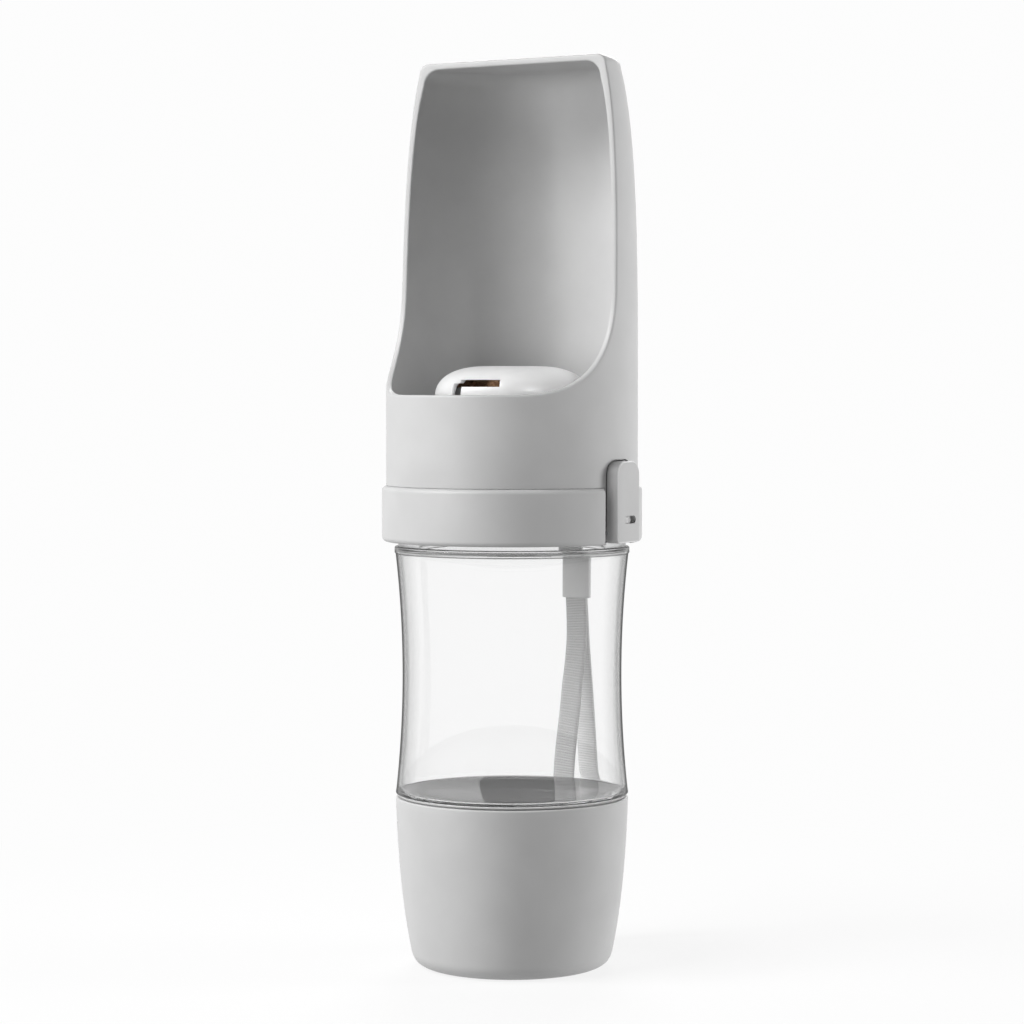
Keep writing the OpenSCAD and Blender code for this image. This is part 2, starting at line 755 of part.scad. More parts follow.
module outlet_cover() {
    inner_r = cover_r - cover_wall;
    channel_z = lug_z;
    color("white")
        difference() {
            union() {
                rotate_extrude()
                    polygon(concat(
                        [[inner_r, cover_z], [cover_r, cover_z]], cover_outside,
                        [[0, cover_top], [0, cover_top - cover_wall]], flip(cover_inside)));
                lugs(basket_out_r + 4 * fit_gap, cover_r - cover_wall / 2, tab_z);
            }
            for (side = [0, 180])
                rotate(slot_start + side) {
                    translate([0, 0, slot_top - slot_h])
                        rotate_extrude(angle = slot_angle)
                            translate([basket_out_r, 0])
                                square([cover_r, slot_h]);
                    translate([0, 0, channel_z])
                        rotate(channel_overlap - channel_angle)
                            rotate_extrude(angle = channel_angle)
                                translate([basket_out_r, 0])
                                    square([cover_r, slot_top - slot_h / 2 - channel_z]);
                }
        }
}

module flow_lever() {
    color("silver")
        difference() {
            union() {
                plate_x(pad_back, pad_x - pad_bevel)
                    translate([pad_y, pad_z])
                        pad_outline(pad_w, pad_h, pad_corner_r, pad_foot_r);
                hull() {
                    plate_x(pad_x - pad_bevel - pad_bevel / 9, pad_x - pad_bevel)
                        translate([pad_y, pad_z])
                            pad_outline(pad_w, pad_h, pad_corner_r, pad_foot_r);
                    plate_x(pad_x - pad_bevel, pad_x)
                        translate([pad_y, pad_z + pad_bevel])
                            pad_outline(pad_w - 2 * pad_bevel, pad_h - 2 * pad_bevel,
                                pad_corner_r - pad_bevel, pad_foot_r);
                }
                translate([pin_x, pad_y + pad_w / 2, pin_z])
                    rotate([90, 0, 0])
                        cylinder(r = barrel_r, h = pad_w);
            }
            translate([pin_x, pad_y + pad_w, pin_z])
                rotate([90, 0, 0])
                    cylinder(r = pin_r + run_gap, h = 2 * pad_w);
            translate([pad_back, slot_low[0], slot_low[1]])
                lock_hole(slot_w, slot_t, pad_t + over);
            translate([pad_back - over, lock_y[0] - lock_gap, lock_z[0] - lock_gap])
                cube([lock_bed + over, pad_w, lock_z[1] - lock_z[0] + 2 * lock_gap]);
            for (z = screw_levels)
                translate([pad_back - plate_t, 0, z])
                    rotate([0, 90, 0])
                        cylinder(r = screw_r, h = screw_l);
        }
}

// A hole or knob with round ends along y, of width w and height h, that runs l along x
module lock_hole(w, h, l) {
    plate_x(0, l)
        union() {
            for (y = [h / 2, w - h / 2])
                translate([y, h / 2])
                    circle(h / 2);
            translate([h / 2, 0])
                square([w - h, h]);
        }
}

module lock_slider() {
    color("gray")
        union() {
            translate([pad_back + lock_gap, lock_y[0], lock_z[0]])
                cube([lock_t, lock_y[1] - lock_y[0], lock_z[1] - lock_z[0]]);
            translate([pad_back + lock_gap, slot_low[0] + lock_gap, slot_low[1] + lock_gap])
                lock_hole(knob_w, slot_t - 2 * lock_gap, pad_t - knob_sink - lock_gap);
        }
}

module lever_arm() {
    back = pad_back - plate_t;
    bar_low = nose_z - bar_drop_share * arm_t;
    bar_top = bar_low + arm_t;
    knee = pocket_x - pocket_wall - arm_knee;
    bar_end = knee - arm_slope;
    side = [[pad_back, plate_z], [pad_back, arm_top], [knee, arm_top], [bar_end, bar_top],
        [valve_x - nose_r, bar_top], [valve_x - nose_r, bar_low], [bar_end, bar_low],
        [knee, arm_low], [back, arm_low], [back, plate_z]];
    color("lightgray")
        difference() {
            union() {
                plate_y(-arm_w / 2, arm_w / 2)
                    polygon(side);
                translate([valve_x, arm_w / 2, nose_z])
                    rotate([90, 0, 0])
                        cylinder(r = nose_r, h = arm_w);
            }
            for (z = screw_levels)
                translate([back, 0, z])
                    rotate([0, 90, 0]) {
                        cylinder(r = screw_r, h = screw_l);
                        screw_head(over);
                    }
        }
}

// The cone of a countersunk head, with a cylinder of length l before it
module screw_head(l) {
    cylinder(r1 = screw_head_r, r2 = screw_r, h = screw_head_r - screw_r);
    if (l > 0)
        translate([0, 0, -l])
            cylinder(r = screw_head_r, h = l);
}

module arm_screws() {
    color("lightsteelblue")
        for (z = screw_levels)
            translate([pad_back - plate_t, 0, z])
                rotate([0, 90, 0])
                    union() {
                        cylinder(r = screw_r, h = screw_l);
                        screw_head(0);
                    }
}

module lever_pin() {
    reach = pocket_wall - free_gap;
    color("lightsteelblue")
        translate([pin_x, pocket_y + pocket_w / 2 + reach, pin_z])
            rotate([90, 0, 0])
                cylinder(r = pin_r, h = pocket_w + 2 * reach);
}

module valve_stem() {
    color("white")
        translate([valve_x, 0, 0])
            union() {
                translate([0, 0, disc_z - foot_t])
                    cylinder(r = foot_r, h = foot_t);
                translate([0, 0, disc_z - foot_t])
                    cylinder(r = stem_r, h = press_z - stem_cap_t / 2 - disc_z + foot_t);
            }
}

module stem_cap() {
    color("lightgray")
        translate([valve_x, 0, stem_cap_z])
            difference() {
                cylinder(r = stem_cap_r, h = stem_cap_t);
                translate([0, 0, -over])
                    cylinder(r = stem_r, h = stem_cap_t / 2 + over);
            }
}

module valve_disc() {
    color("whitesmoke")
        translate([valve_x, 0, 0])
            washer(stem_r, valve_disc_r, disc_z, valve_disc_t);
}

module valve_spring() {
    low = roof_z + spring_wire_r;
    rise = spring_l - 2 * spring_wire_r;
    wire_ring = function (i)
        let (a = 360 * spring_turns * i / spring_steps, z = low + rise * i / spring_steps)
            [for (j = [0:wire_sides - 1]) let (b = 360 * j / wire_sides,
                    r = spring_r + spring_wire_r * cos(b))
                [r * cos(a), r * sin(a), z + spring_wire_r * sin(b)]];
    color("lightsteelblue")
        translate([valve_x, 0, 0])
            skin([for (i = [0:spring_steps]) wire_ring(i)]);
}

module stem_ring() {
    color("dimgray")
        translate([valve_x, 0, roof_z - ring_level])
            rotate_extrude()
                translate([stem_r + run_gap + ring_wire_r, 0])
                    circle(ring_wire_r);
}

module strap_anchor() {
    color("lightgray")
        difference() {
            union() {
                plate_x(-anchor_t / 2, anchor_t / 2)
                    union() {
                        translate([anchor_y, anchor_z])
                            circle(anchor_r);
                        translate([collar_in_r - clip_t, anchor_low + fit_gap])
                            square([anchor_y - collar_in_r + clip_t, anchor_h - 2 * fit_gap]);
                    }
                translate([-clip_w / 2, collar_in_r - clip_t - free_gap, anchor_low])
                    cube([clip_w, clip_t, anchor_h]);
            }
            translate([-anchor_t, anchor_y, anchor_z])
                rotate([0, 90, 0])
                    cylinder(r = eye_r, h = 2 * anchor_t);
        }
}

module strap_loop() {
    leg_l = anchor_z - bend_r - sleeve_top + leg_depth;
    color("lightgray")
        union() {
            translate([-leg_x + bend_r, anchor_y, anchor_z])
                rotate([0, 90, 0])
                    cylinder(r = loop_r, h = 2 * (leg_x - bend_r));
            for (side = [0, 1])
                mirror([side, 0, 0]) {
                    translate([leg_x - bend_r, anchor_y, anchor_z - bend_r])
                        rotate([90, 0, 0])
                            rotate_extrude(angle = 90)
                                translate([bend_r, 0])
                                    circle(loop_r);
                    translate([leg_x, anchor_y, anchor_z - bend_r - leg_l])
                        cylinder(r = loop_r, h = leg_l);
                }
        }
}

module strap_sleeve() {
    half = sleeve_w / 2 - sleeve_t / 2;
    color("gainsboro")
        difference() {
            translate([0, sleeve_y, sleeve_z])
                linear_extrude(sleeve_l)
                    union() {
                        for (x = [-half, half])
                            translate([x, 0])
                                circle(sleeve_t / 2);
                        translate([-half, -sleeve_t / 2])
                            square([2 * half, sleeve_t]);
                    }
            for (x = [-leg_x, leg_x])
                translate([x, anchor_y, sleeve_top - leg_depth])
                    cylinder(r = loop_r, h = leg_depth + over);
            translate([-strap_w / 2 - fit_gap, sleeve_y - strap_t - 1.5 * fit_gap, sleeve_z - over])
                cube([strap_w + 2 * fit_gap, 2 * strap_t + 3 * fit_gap, strap_pocket + over]);
        }
}

// A smooth point between the second and third of four points
function between(p, t) = 0.5 * (2 * p[1] + (p[2] - p[0]) * t
    + (2 * p[0] - 5 * p[1] + 4 * p[2] - p[3]) * t * t
    + (3 * p[1] - p[0] - 3 * p[2] + p[3]) * t * t * t);

module wrist_strap() {
    last = len(route) - 1;
    at = function (i) route[min(max(i, 0), last)];
    line = concat(
        [for (i = [0:last - 1]) for (k = [0:route_steps - 1])
            between([at(i - 1), at(i), at(i + 1), at(i + 2)], k / route_steps)],
        [route[last]]);
    end = len(line) - 1;
    half_w = strap_w / 2;
    half_t = strap_t / 2;
    section = [[half_w, half_t - strap_corner], [half_w - strap_corner, half_t],
        [strap_corner - half_w, half_t], [-half_w, half_t - strap_corner],
        [-half_w, strap_corner - half_t], [strap_corner - half_w, -half_t],
        [half_w - strap_corner, -half_t], [half_w, strap_corner - half_t]];
    ring = function (i)
        let (t = unit(line[min(i + 1, end)] - line[max(i - 1, 0)]),
            w = unit([1, 0, 0] - t[0] * t), n = cross(t, w))
            [for (s = section) line[i] + s[0] * w + s[1] * n];
    color("darkgray")
        skin([for (i = [0:end]) ring(i)]);
}

food_cup();
cup_gasket();
bottle_body();
neck_seal();
collar_cap();
drinking_scoop();
bowl_gasket();
outlet_riser();
riser_gasket();
filter_basket();
filter_cartridge();
filter_cap();
outlet_cover();
flow_lever();
lever_arm();
arm_screws();
lever_pin();
lock_slider();
valve_stem();
stem_cap();
valve_disc();
valve_spring();
stem_ring();
strap_anchor();
strap_loop();
strap_sleeve();
wrist_strap();
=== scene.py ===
import math
import bpy
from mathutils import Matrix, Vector


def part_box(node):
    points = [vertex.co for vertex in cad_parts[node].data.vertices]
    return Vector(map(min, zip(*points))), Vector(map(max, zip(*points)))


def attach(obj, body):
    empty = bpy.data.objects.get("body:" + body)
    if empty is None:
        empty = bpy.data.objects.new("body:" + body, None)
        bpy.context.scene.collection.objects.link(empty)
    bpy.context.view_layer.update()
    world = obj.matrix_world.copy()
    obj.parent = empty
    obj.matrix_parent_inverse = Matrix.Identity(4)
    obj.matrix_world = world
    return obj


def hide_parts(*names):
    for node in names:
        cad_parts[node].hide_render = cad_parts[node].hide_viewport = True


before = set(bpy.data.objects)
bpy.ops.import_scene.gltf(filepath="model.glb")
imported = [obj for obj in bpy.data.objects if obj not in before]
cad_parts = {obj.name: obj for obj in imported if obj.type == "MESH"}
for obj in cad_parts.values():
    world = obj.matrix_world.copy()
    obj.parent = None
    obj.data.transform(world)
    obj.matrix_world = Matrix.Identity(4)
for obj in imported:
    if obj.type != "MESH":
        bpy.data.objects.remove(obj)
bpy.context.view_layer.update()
mm = 0.001  # sizes below are in millimetres, angles in degrees

# Camera, at the photo's viewing angle
photoView = {"place": (466.6, -776.6, 171.8), "target": (0, 0, 133.2), "lens": 109, "sensor": 36, "clip": 10}

bpy.ops.object.select_all(action="DESELECT")
bpy.ops.object.camera_add(location=[c * mm for c in photoView["place"]])
photoCamera = bpy.context.active_object
photoCamera.data.lens = photoView["lens"]
photoCamera.data.sensor_width = photoView["sensor"]
photoCamera.data.clip_start = photoView["clip"] * mm
lookDirection = Vector(photoView["target"]) - Vector(photoView["place"])
photoCamera.rotation_euler = lookDirection.to_track_quat("-Z", "Y").to_euler()
bpy.context.scene.camera = photoCamera

# Wrist strap, ribbed webbing that leaves the ferrule, hangs, turns and comes back
webbing = {
    "width": 7.2, "thickness": 0.9, "edge": 0.2, "ribPitch": 1.25, "ribHeight": 0.08, "stepsPerRib": 5,
    "flats": (0.94, 0.62, 0.21), "fineSteps": 24,
    "route": [(0, 38.8, 108.8), (0, 38.8, 105.8), (0.5, 38.4, 100), (0.9, 37.7, 93), (0.7, 36.9, 86),
              (0.1, 36.2, 79), (-0.5, 35.7, 71), (-1.5, 35.5, 63), (-2.3, 35.4, 55), (-2.8, 35.5, 45),
              (-3, 36, 35), (-2.9, 36.9, 25), (-2.6, 38.7, 17), (-2.2, 41.3, 11.5), (-1.7, 44.6, 9.5),
              (-1.3, 47.6, 12), (-1, 49.9, 18), (-0.8, 50.9, 26), (-0.6, 50.9, 35), (-0.5, 49.7, 45),
              (-0.2, 47.6, 55), (0.2, 45.9, 63), (0.4, 44.4, 71), (0.5, 43, 79), (0.4, 41.9, 86),
              (0.3, 40.9, 93), (0.2, 40.25, 100), (0, 39.8, 105.8), (0, 39.8, 108.8)],
}


def evenRoute(route, spacing):  # a smooth curve through the route, in steps of equal length
    corners = [Vector(p) for p in [route[0], *route, route[-1]]]
    fine = []
    for before, start, end, after in zip(corners, corners[1:], corners[2:], corners[3:]):
        bend = 2 * before - 5 * start + 4 * end - after
        twist = 3 * start - before - 3 * end + after
        for k in range(webbing["fineSteps"]):
            t = k / webbing["fineSteps"]
            fine.append(0.5 * (2 * start + (end - before) * t + bend * t * t + twist * t ** 3))
    fine.append(corners[-1])
    walked = [0.0]
    for a, b in zip(fine, fine[1:]):
        walked.append(walked[-1] + (b - a).length)
    count = round(walked[-1] / spacing)
    even, i = [], 0
    for k in range(count + 1):
        target = walked[-1] * k / count
        while i < len(fine) - 2 and walked[i + 1] < target:
            i += 1
        even.append(fine[i].lerp(fine[i + 1], (target - walked[i]) / (walked[i + 1] - walked[i])))
    return even, walked[-1]


def makeWebbing():
    centres, length = evenRoute(webbing["route"], webbing["ribPitch"] / webbing["stepsPerRib"])
    halfWidth, halfThick, edge = webbing["width"] / 2, webbing["thickness"] / 2, webbing["edge"]
    shares = list(webbing["flats"]) + [-f for f in reversed(webbing["flats"])]
    around = [(halfWidth * f, halfThick, 1) for f in shares]
    around += [(-halfWidth, edge, 0), (-halfWidth, -edge, 0)]
    around += [(-u, -v, rib) for u, v, rib in around]
    ring = len(around)
    points, faces, places, paintedLightSide = [], [], [], []
    for i, centre in enumerate(centres):
        along = (centres[min(i + 1, len(centres) - 1)] - centres[max(i - 1, 0)]).normalized()
        across = (Vector((1, 0, 0)) - along.x * along).normalized()
        out = along.cross(across)
        dip = webbing["ribHeight"] * (1 - math.cos(math.tau * i / webbing["stepsPerRib"])) / 2
        for u, v, rib in around:
            points.append((centre + across * u + out * (v - math.copysign(dip * rib, v))) * mm)
            places.append((u / webbing["ribPitch"], i / webbing["stepsPerRib"]))
    for i in range(len(centres) - 1):
        for j in range(ring):
            k = (j + 1) % ring
            # faces on the inside of the loop, which get a paler finish as painted light
            if around[j][1] < 0 and around[k][1] < 0:
                paintedLightSide.append(len(faces))
            faces.append((i * ring + j, i * ring + k, (i + 1) * ring + k, (i + 1) * ring + j))
    faces.append(tuple(range(ring - 1, -1, -1)))
    faces.append(tuple(len(points) - ring + j for j in range(ring)))
    mesh = bpy.data.meshes.new("wristWebbing")
    mesh.from_pydata(points, [], faces)
    weaveMap = mesh.uv_layers.new(name="weave")
    for loop in mesh.loops:
        weaveMap.data[loop.index].uv = places[loop.vertex_index]
    piece = bpy.data.objects.new("wristWebbing", mesh)
    bpy.context.collection.objects.link(piece)
    return piece, centres, length, paintedLightSide


wristWebbing, webbingLine, webbingLength, paintedLightFaces = makeWebbing()
print("strap modelled,", round(webbingLength), "mm long")

# Outlines and the tools that turn them into pieces
weldGap = 0.002
past = 1  # how far a cutting tool reaches past a face
roundSteps = 192
holeSides = 24
searchSteps = 40


def take(settings, names):
    return [settings[name] for name in names.split()]


def searchBetween(low, high, isLow):  # the value between the bounds where isLow ends
    for step in range(searchSteps):
        middle = (low + high) / 2
        low, high = (middle, high) if isLow(middle) else (low, middle)
    return low


def arcPoints(centre, radius, startAngle, endAngle, steps):
    angles = [math.radians(startAngle + (endAngle - startAngle) * i / steps) for i in range(steps + 1)]
    return [(centre[0] + radius * math.cos(a), centre[1] + radius * math.sin(a)) for a in angles]


def curvePoint(handles, share):
    points = [Vector(p) for p in handles]
    while len(points) > 1:
        points = [a.lerp(b, share) for a, b in zip(points, points[1:])]
    return tuple(points[0])


def curvePoints(handles, steps):
    return [curvePoint(handles, i / steps) for i in range(steps + 1)]


def curveAt(handles, height):  # the curve's first value where its second value is height
    return curvePoint(handles, searchBetween(0.0, 1.0, lambda t: curvePoint(handles, t)[1] < height))[0]


def named(name):  # the object that was just added
    piece = bpy.context.active_object
    piece.name = name
    return piece


def pick(piece):
    bpy.ops.object.select_all(action="DESELECT")
    bpy.context.view_layer.objects.active = piece
    piece.select_set(True)


def pull(x, y, z):  # extrude what is selected
    bpy.ops.mesh.extrude_region_move(TRANSFORM_OT_translate={"value": (x * mm, y * mm, z * mm)})


def drawOutline(name, points):
    bpy.ops.object.select_all(action="DESELECT")
    bpy.ops.mesh.primitive_plane_add(size=mm)
    piece = named(name)
    bpy.ops.object.mode_set(mode="EDIT")
    bpy.ops.mesh.merge(type="CENTER")
    bpy.ops.transform.translate(value=[c * mm for c in points[0]])
    for a, b in zip(points, points[1:]):
        pull(*[q - p for p, q in zip(a, b)])
    bpy.ops.mesh.select_all(action="SELECT")
    return piece


def turnedOutline(name, profile, angle):
    turn = math.radians(angle)
    return drawOutline(name, [(r * math.cos(turn), r * math.sin(turn), z) for r, z in profile])


def tidyMesh():
    bpy.ops.mesh.select_all(action="SELECT")
    bpy.ops.mesh.remove_doubles(threshold=weldGap * mm)
    bpy.ops.mesh.normals_make_consistent(inside=False)
    bpy.ops.object.mode_set(mode="OBJECT")


def spinOutline(name, profile, steps=roundSteps, centre=(0, 0)):
    piece = drawOutline(name, [(centre[0] + r, centre[1], z) for r, z in profile])
    middle = (centre[0] * mm, centre[1] * mm, 0)
    bpy.ops.mesh.spin(steps=steps, angle=math.tau, center=middle, axis=(0, 0, 1))
    tidyMesh()
    return piece


def spinSector(name, profile, startAngle, angle, steps=24):
    piece = turnedOutline(name, profile, startAngle)
    bpy.ops.mesh.edge_face_add()
    bpy.ops.mesh.spin(steps=steps, angle=-math.radians(angle), center=(0, 0, 0), axis=(0, 0, 1))
    tidyMesh()
    return piece


def addBlock(name, low, high):
    bpy.ops.object.select_all(action="DESELECT")
    bpy.ops.mesh.primitive_cube_add(size=mm)
    piece = named(name)
    bpy.ops.object.mode_set(mode="EDIT")
    bpy.ops.transform.resize(value=[b - a for a, b in zip(low, high)])
    bpy.ops.transform.translate(value=[(a + b) / 2 * mm for a, b in zip(low, high)])
    bpy.ops.object.mode_set(mode="OBJECT")
    return piece


def addRod(name, start, end, radius, sides=holeSides):
    bpy.ops.object.select_all(action="DESELECT")
    start, end = Vector(start), Vector(end)
    turn = (end - start).to_track_quat("Z", "Y").to_euler()
    length = (end - start).length * mm
    bpy.ops.mesh.primitive_cylinder_add(vertices=sides, radius=radius * mm, depth=length,
                                        location=(start + end) / 2 * mm, rotation=turn)
    bpy.ops.object.transform_apply(location=True, rotation=True, scale=True)
    return named(name)


def reshape(piece, kind, **settings):  # a modifier, applied at once
    pick(piece)
    modifier = piece.modifiers.new(kind.lower(), kind)
    for setting, value in settings.items():
        setattr(modifier, setting, value)
    bpy.ops.object.modifier_apply(modifier=modifier.name)


def carve(piece, tool, operation="DIFFERENCE"):
    reshape(piece, "BOOLEAN", operation=operation, solver="EXACT", object=tool)
    bpy.data.objects.remove(tool, do_unlink=True)


def soften(piece, width, segments, angle):
    reshape(piece, "BEVEL", width=width * mm, segments=segments, limit_method="ANGLE",
            angle_limit=math.radians(angle), harden_normals=False)


def joinPieces(*pieces):
    pick(pieces[0])
    for piece in pieces[1:]:
        piece.select_set(True)
    bpy.ops.object.join()
    return pieces[0]


def boxOf(node):
    low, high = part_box(node)
    return low / mm, high / mm


# Threads of the cup, the bottle and the collar
thread = {"lead": 4, "turns": 1.25, "depth": 1.2, "bite": 0.4, "root": 1.9, "crest": 1.0, "steps": 90}


def threadRidge(name, wallRadius, height, startAngle, way):
    root, crest = wallRadius - way * thread["bite"], wallRadius + way * thread["depth"]
    foot = height + thread["lead"] * startAngle / 360
    halfRoot, halfCrest = thread["root"] / 2, thread["crest"] / 2
    section = [(root, foot - halfRoot), (crest, foot - halfCrest), (crest, foot + halfCrest),
               (root, foot + halfRoot)]
    piece = turnedOutline(name, section, startAngle)
    bpy.ops.mesh.edge_face_add()
    bpy.ops.mesh.delete(type="ONLY_FACE")
    bpy.ops.object.mode_set(mode="OBJECT")
    turns, steps = take(thread, "turns steps")
    reshape(piece, "SCREW", angle=math.tau * turns, screw_offset=thread["lead"] * turns * mm, steps=steps,
            render_steps=steps, use_merge_vertices=False)
    bpy.ops.object.mode_set(mode="EDIT")
    bpy.ops.mesh.select_all(action="DESELECT")
    bpy.ops.mesh.select_non_manifold()
    bpy.ops.mesh.edge_face_add()
    tidyMesh()
    return piece


# Finishes
moulding = {"toneGrain": 14, "glossGrain": 5, "glossSpread": 0.05, "bumpDepth": 0.03}
# the paintedEdge settings paint shade where the clear wall is seen edge on
clearWall = {"index": 1.5, "hazeGrain": 6, "haze": 0.03, "paintedEdgeShadeFrom": 0.45, "tintMiddle": (0.7, 0.68),
             "tintEdge": (0.84, 0.03), "paintedEdgeDarkTone": 0.05, "paintedEdgeDarkShare": 0.85, "paintedEdgeDarkReach": (0.74, 0.86),
             "floorBelow": 60, "ringFrom": 121.5, "ringTo": 124.5, "depthTone": (200, 201, 201),
             "depthDensity": 60}
steel = {"lines": 0.4, "stretch": (0.08, 1, 1), "dark": (168, 170, 173), "light": (205, 206, 208),
         "bump": 0.08, "bumpDepth": 0.02}
coconut = {"grain": 0.9, "dark": (128, 92, 66), "light": (196, 156, 122), "bump": 0.6, "bumpDepth": 0.25}
weave = {"scale": 0.5, "distortion": 0.4, "detail": 3, "reach": (0.1, 0.9), "bump": 0.5, "bumpDepth": 0.12}


def grey(level):
    return (level, level, level)


def tone(red, green, blue):  # screen colour, 0 to 255, as the shader wants it
    shares = [c / 255 for c in (red, green, blue)]
    return [c / 12.92 if c <= 0.04045 else ((c + 0.055) / 1.055) ** 2.4 for c in shares] + [1]


def fill(tree, node, *inputs, **values):  # sockets are linked, numbers and colours are set
    wanted = list(zip(node.inputs, inputs))
    wanted += [(node.inputs[name.replace("_", " ")], value) for name, value in values.items()]
    for socket, value in wanted:
        if isinstance(value, bpy.types.NodeSocket):
            tree.links.new(value, socket)
        else:
            socket.default_value = value
    return node


def addNode(tree, kind, *inputs, **values):
    return fill(tree, tree.nodes.new(kind), *inputs, **values)


def newFinish(name, **settings):
    finish = bpy.data.materials.new(name)
    finish.use_nodes = True
    tree = finish.node_tree
    return finish, tree, fill(tree, tree.nodes["Principled BSDF"], **settings)


def mathOf(tree, operation, *inputs):
    node = addNode(tree, "ShaderNodeMath", *inputs)
    node.operation = operation
    return node.outputs["Value"]


def grainOf(tree, size, detail, stretch=(1, 1, 1)):  # noise with grains of the given size
    place = addNode(tree, "ShaderNodeTexCoord")
    mapping = addNode(tree, "ShaderNodeMapping", Vector=place.outputs["Object"], Scale=stretch)
    grain = addNode(tree, "ShaderNodeTexNoise", Vector=mapping.outputs["Vector"], Scale=1 / (size * mm),
                    Detail=detail)
    return grain.outputs["Fac"]


def rampOf(tree, value, low, high, start=0.3, end=0.7):
    ramp = addNode(tree, "ShaderNodeValToRGB", Fac=value)
    ramp.color_ramp.elements[0].position, ramp.color_ramp.elements[1].position = start, end
    ramp.color_ramp.elements[0].color, ramp.color_ramp.elements[1].color = low, high
    return ramp.outputs["Color"]


def spreadOf(tree, value, low, high, start=0, end=1):  # value from start to end becomes low to high
    spread = addNode(tree, "ShaderNodeMapRange", Value=value, From_Min=start, From_Max=end, To_Min=low,
                     To_Max=high)
    return spread.outputs["Result"]


def bumpOf(tree, height, strength, depth):
    bump = addNode(tree, "ShaderNodeBump", Strength=strength, Distance=depth * mm, Height=height)
    return bump.outputs["Normal"]


def mouldedPlastic(name, dark, light, roughness, grain=0.35, bump=0.12, **more):
    finish, tree, shader = newFinish(name, Roughness=roughness, **more)
    spread = moulding["glossSpread"]
    gloss = grainOf(tree, moulding["glossGrain"], detail=4)
    colour = grainOf(tree, moulding["toneGrain"], detail=3)
    fill(tree, shader, Base_Color=rampOf(tree, colour, tone(*dark), tone(*light)),
         Roughness=spreadOf(tree, gloss, roughness - spread, roughness + spread),
         Normal=bumpOf(tree, grainOf(tree, grain, detail=3), bump, moulding["bumpDepth"]))
    return finish


def clearPlastic():
    finish, tree, shader = newFinish("clearTritan", Transmission_Weight=1.0, IOR=clearWall["index"])
    haze = grainOf(tree, clearWall["hazeGrain"], detail=5)
    # Painted shade: the wall's colour goes grey, then near black, where it is seen edge on
    slant = addNode(tree, "ShaderNodeLayerWeight", Blend=0.5).outputs["Facing"]
    (middleAt, middleShadeLevel), (edgeAt, edgeShadeLevel) = take(clearWall, "tintMiddle tintEdge")
    paintedEdgeShade = rampOf(tree, slant, (1, 1, 1, 1), (*grey(edgeShadeLevel), 1), clearWall["paintedEdgeShadeFrom"], edgeAt)
    paintedEdgeShade.node.color_ramp.elements.new(middleAt).color = (*grey(middleShadeLevel), 1)  # darker where seen edge on
    fill(tree, shader, Base_Color=paintedEdgeShade, Roughness=spreadOf(tree, haze, 0.0, clearWall["haze"]))
    # Painted shade: a dark diffuse coat is mixed in where the wall is seen edge on, but not on the bottle's
    # floor or its ring
    place = addNode(tree, "ShaderNodeTexCoord")
    level = addNode(tree, "ShaderNodeSeparateXYZ", place.outputs["Object"]).outputs["Z"]
    facing = addNode(tree, "ShaderNodeSeparateXYZ", place.outputs["Normal"]).outputs["Z"]
    low = mathOf(tree, "LESS_THAN", level, clearWall["floorBelow"] * mm)
    floorShare = mathOf(tree, "MULTIPLY", mathOf(tree, "ABSOLUTE", facing), low)
    ringShare = spreadOf(tree, level, 0, 1, clearWall["ringFrom"] * mm, clearWall["ringTo"] * mm)
    paintedEdgeDarkAmount = spreadOf(tree, slant, 0, clearWall["paintedEdgeDarkShare"], *clearWall["paintedEdgeDarkReach"])
    share = mathOf(tree, "SUBTRACT", paintedEdgeDarkAmount, mathOf(tree, "ADD", floorShare, ringShare))
    share.node.use_clamp = True
    # rim is the dark coat of this painted edge shade
    rim = addNode(tree, "ShaderNodeBsdfDiffuse", Color=(*grey(clearWall["paintedEdgeDarkTone"]), 1))
    mixed = addNode(tree, "ShaderNodeMixShader", share, shader.outputs["BSDF"], rim.outputs["BSDF"])
    depth = addNode(tree, "ShaderNodeVolumeAbsorption", Color=tone(*clearWall["depthTone"]),
                    Density=clearWall["depthDensity"])
    fill(tree, tree.nodes["Material Output"], Surface=mixed.outputs["Shader"],
         Volume=depth.outputs["Volume"])
    return finish


def brushedSteel():
    finish, tree, shader = newFinish("springSteel", Metallic=1.0, Roughness=0.28)
    lines = grainOf(tree, steel["lines"], 2, steel["stretch"])
    fill(tree, shader, Base_Color=rampOf(tree, lines, tone(*steel["dark"]), tone(*steel["light"])),
         Normal=bumpOf(tree, lines, steel["bump"], steel["bumpDepth"]))
    return finish


def granules():
    finish, tree, shader = newFinish("coconutGranules", Roughness=0.85)
    place = addNode(tree, "ShaderNodeTexCoord").outputs["Object"]
    cells = addNode(tree, "ShaderNodeTexVoronoi", Vector=place, Scale=1 / (coconut["grain"] * mm))
    colour = rampOf(tree, cells.outputs["Color"], tone(*coconut["dark"]), tone(*coconut["light"]), 0, 1)
    fill(tree, shader, Base_Color=colour,
         Normal=bumpOf(tree, cells.outputs["Distance"], coconut["bump"], coconut["bumpDepth"]))
    return finish


def wovenFinish(name, dark, light):
    finish, tree, shader = newFinish(name, Roughness=0.72, Sheen_Weight=0.25, Sheen_Roughness=0.5)
    place = addNode(tree, "ShaderNodeUVMap")
    place.uv_map = "weave"
    heights = []
    for direction in ("X", "Y"):
        wave = addNode(tree, "ShaderNodeTexWave", Vector=place.outputs["UV"], Scale=weave["scale"],
                       Distortion=weave["distortion"], Detail_Scale=weave["detail"])
        wave.bands_direction = direction
        heights.append(wave.outputs["Fac"])
    crossing = mathOf(tree, "MULTIPLY", *heights)
    fill(tree, shader, Base_Color=rampOf(tree, heights[1], tone(*dark), tone(*light), *weave["reach"]),
         Normal=bumpOf(tree, crossing, weave["bump"], weave["bumpDepth"]))
    return finish


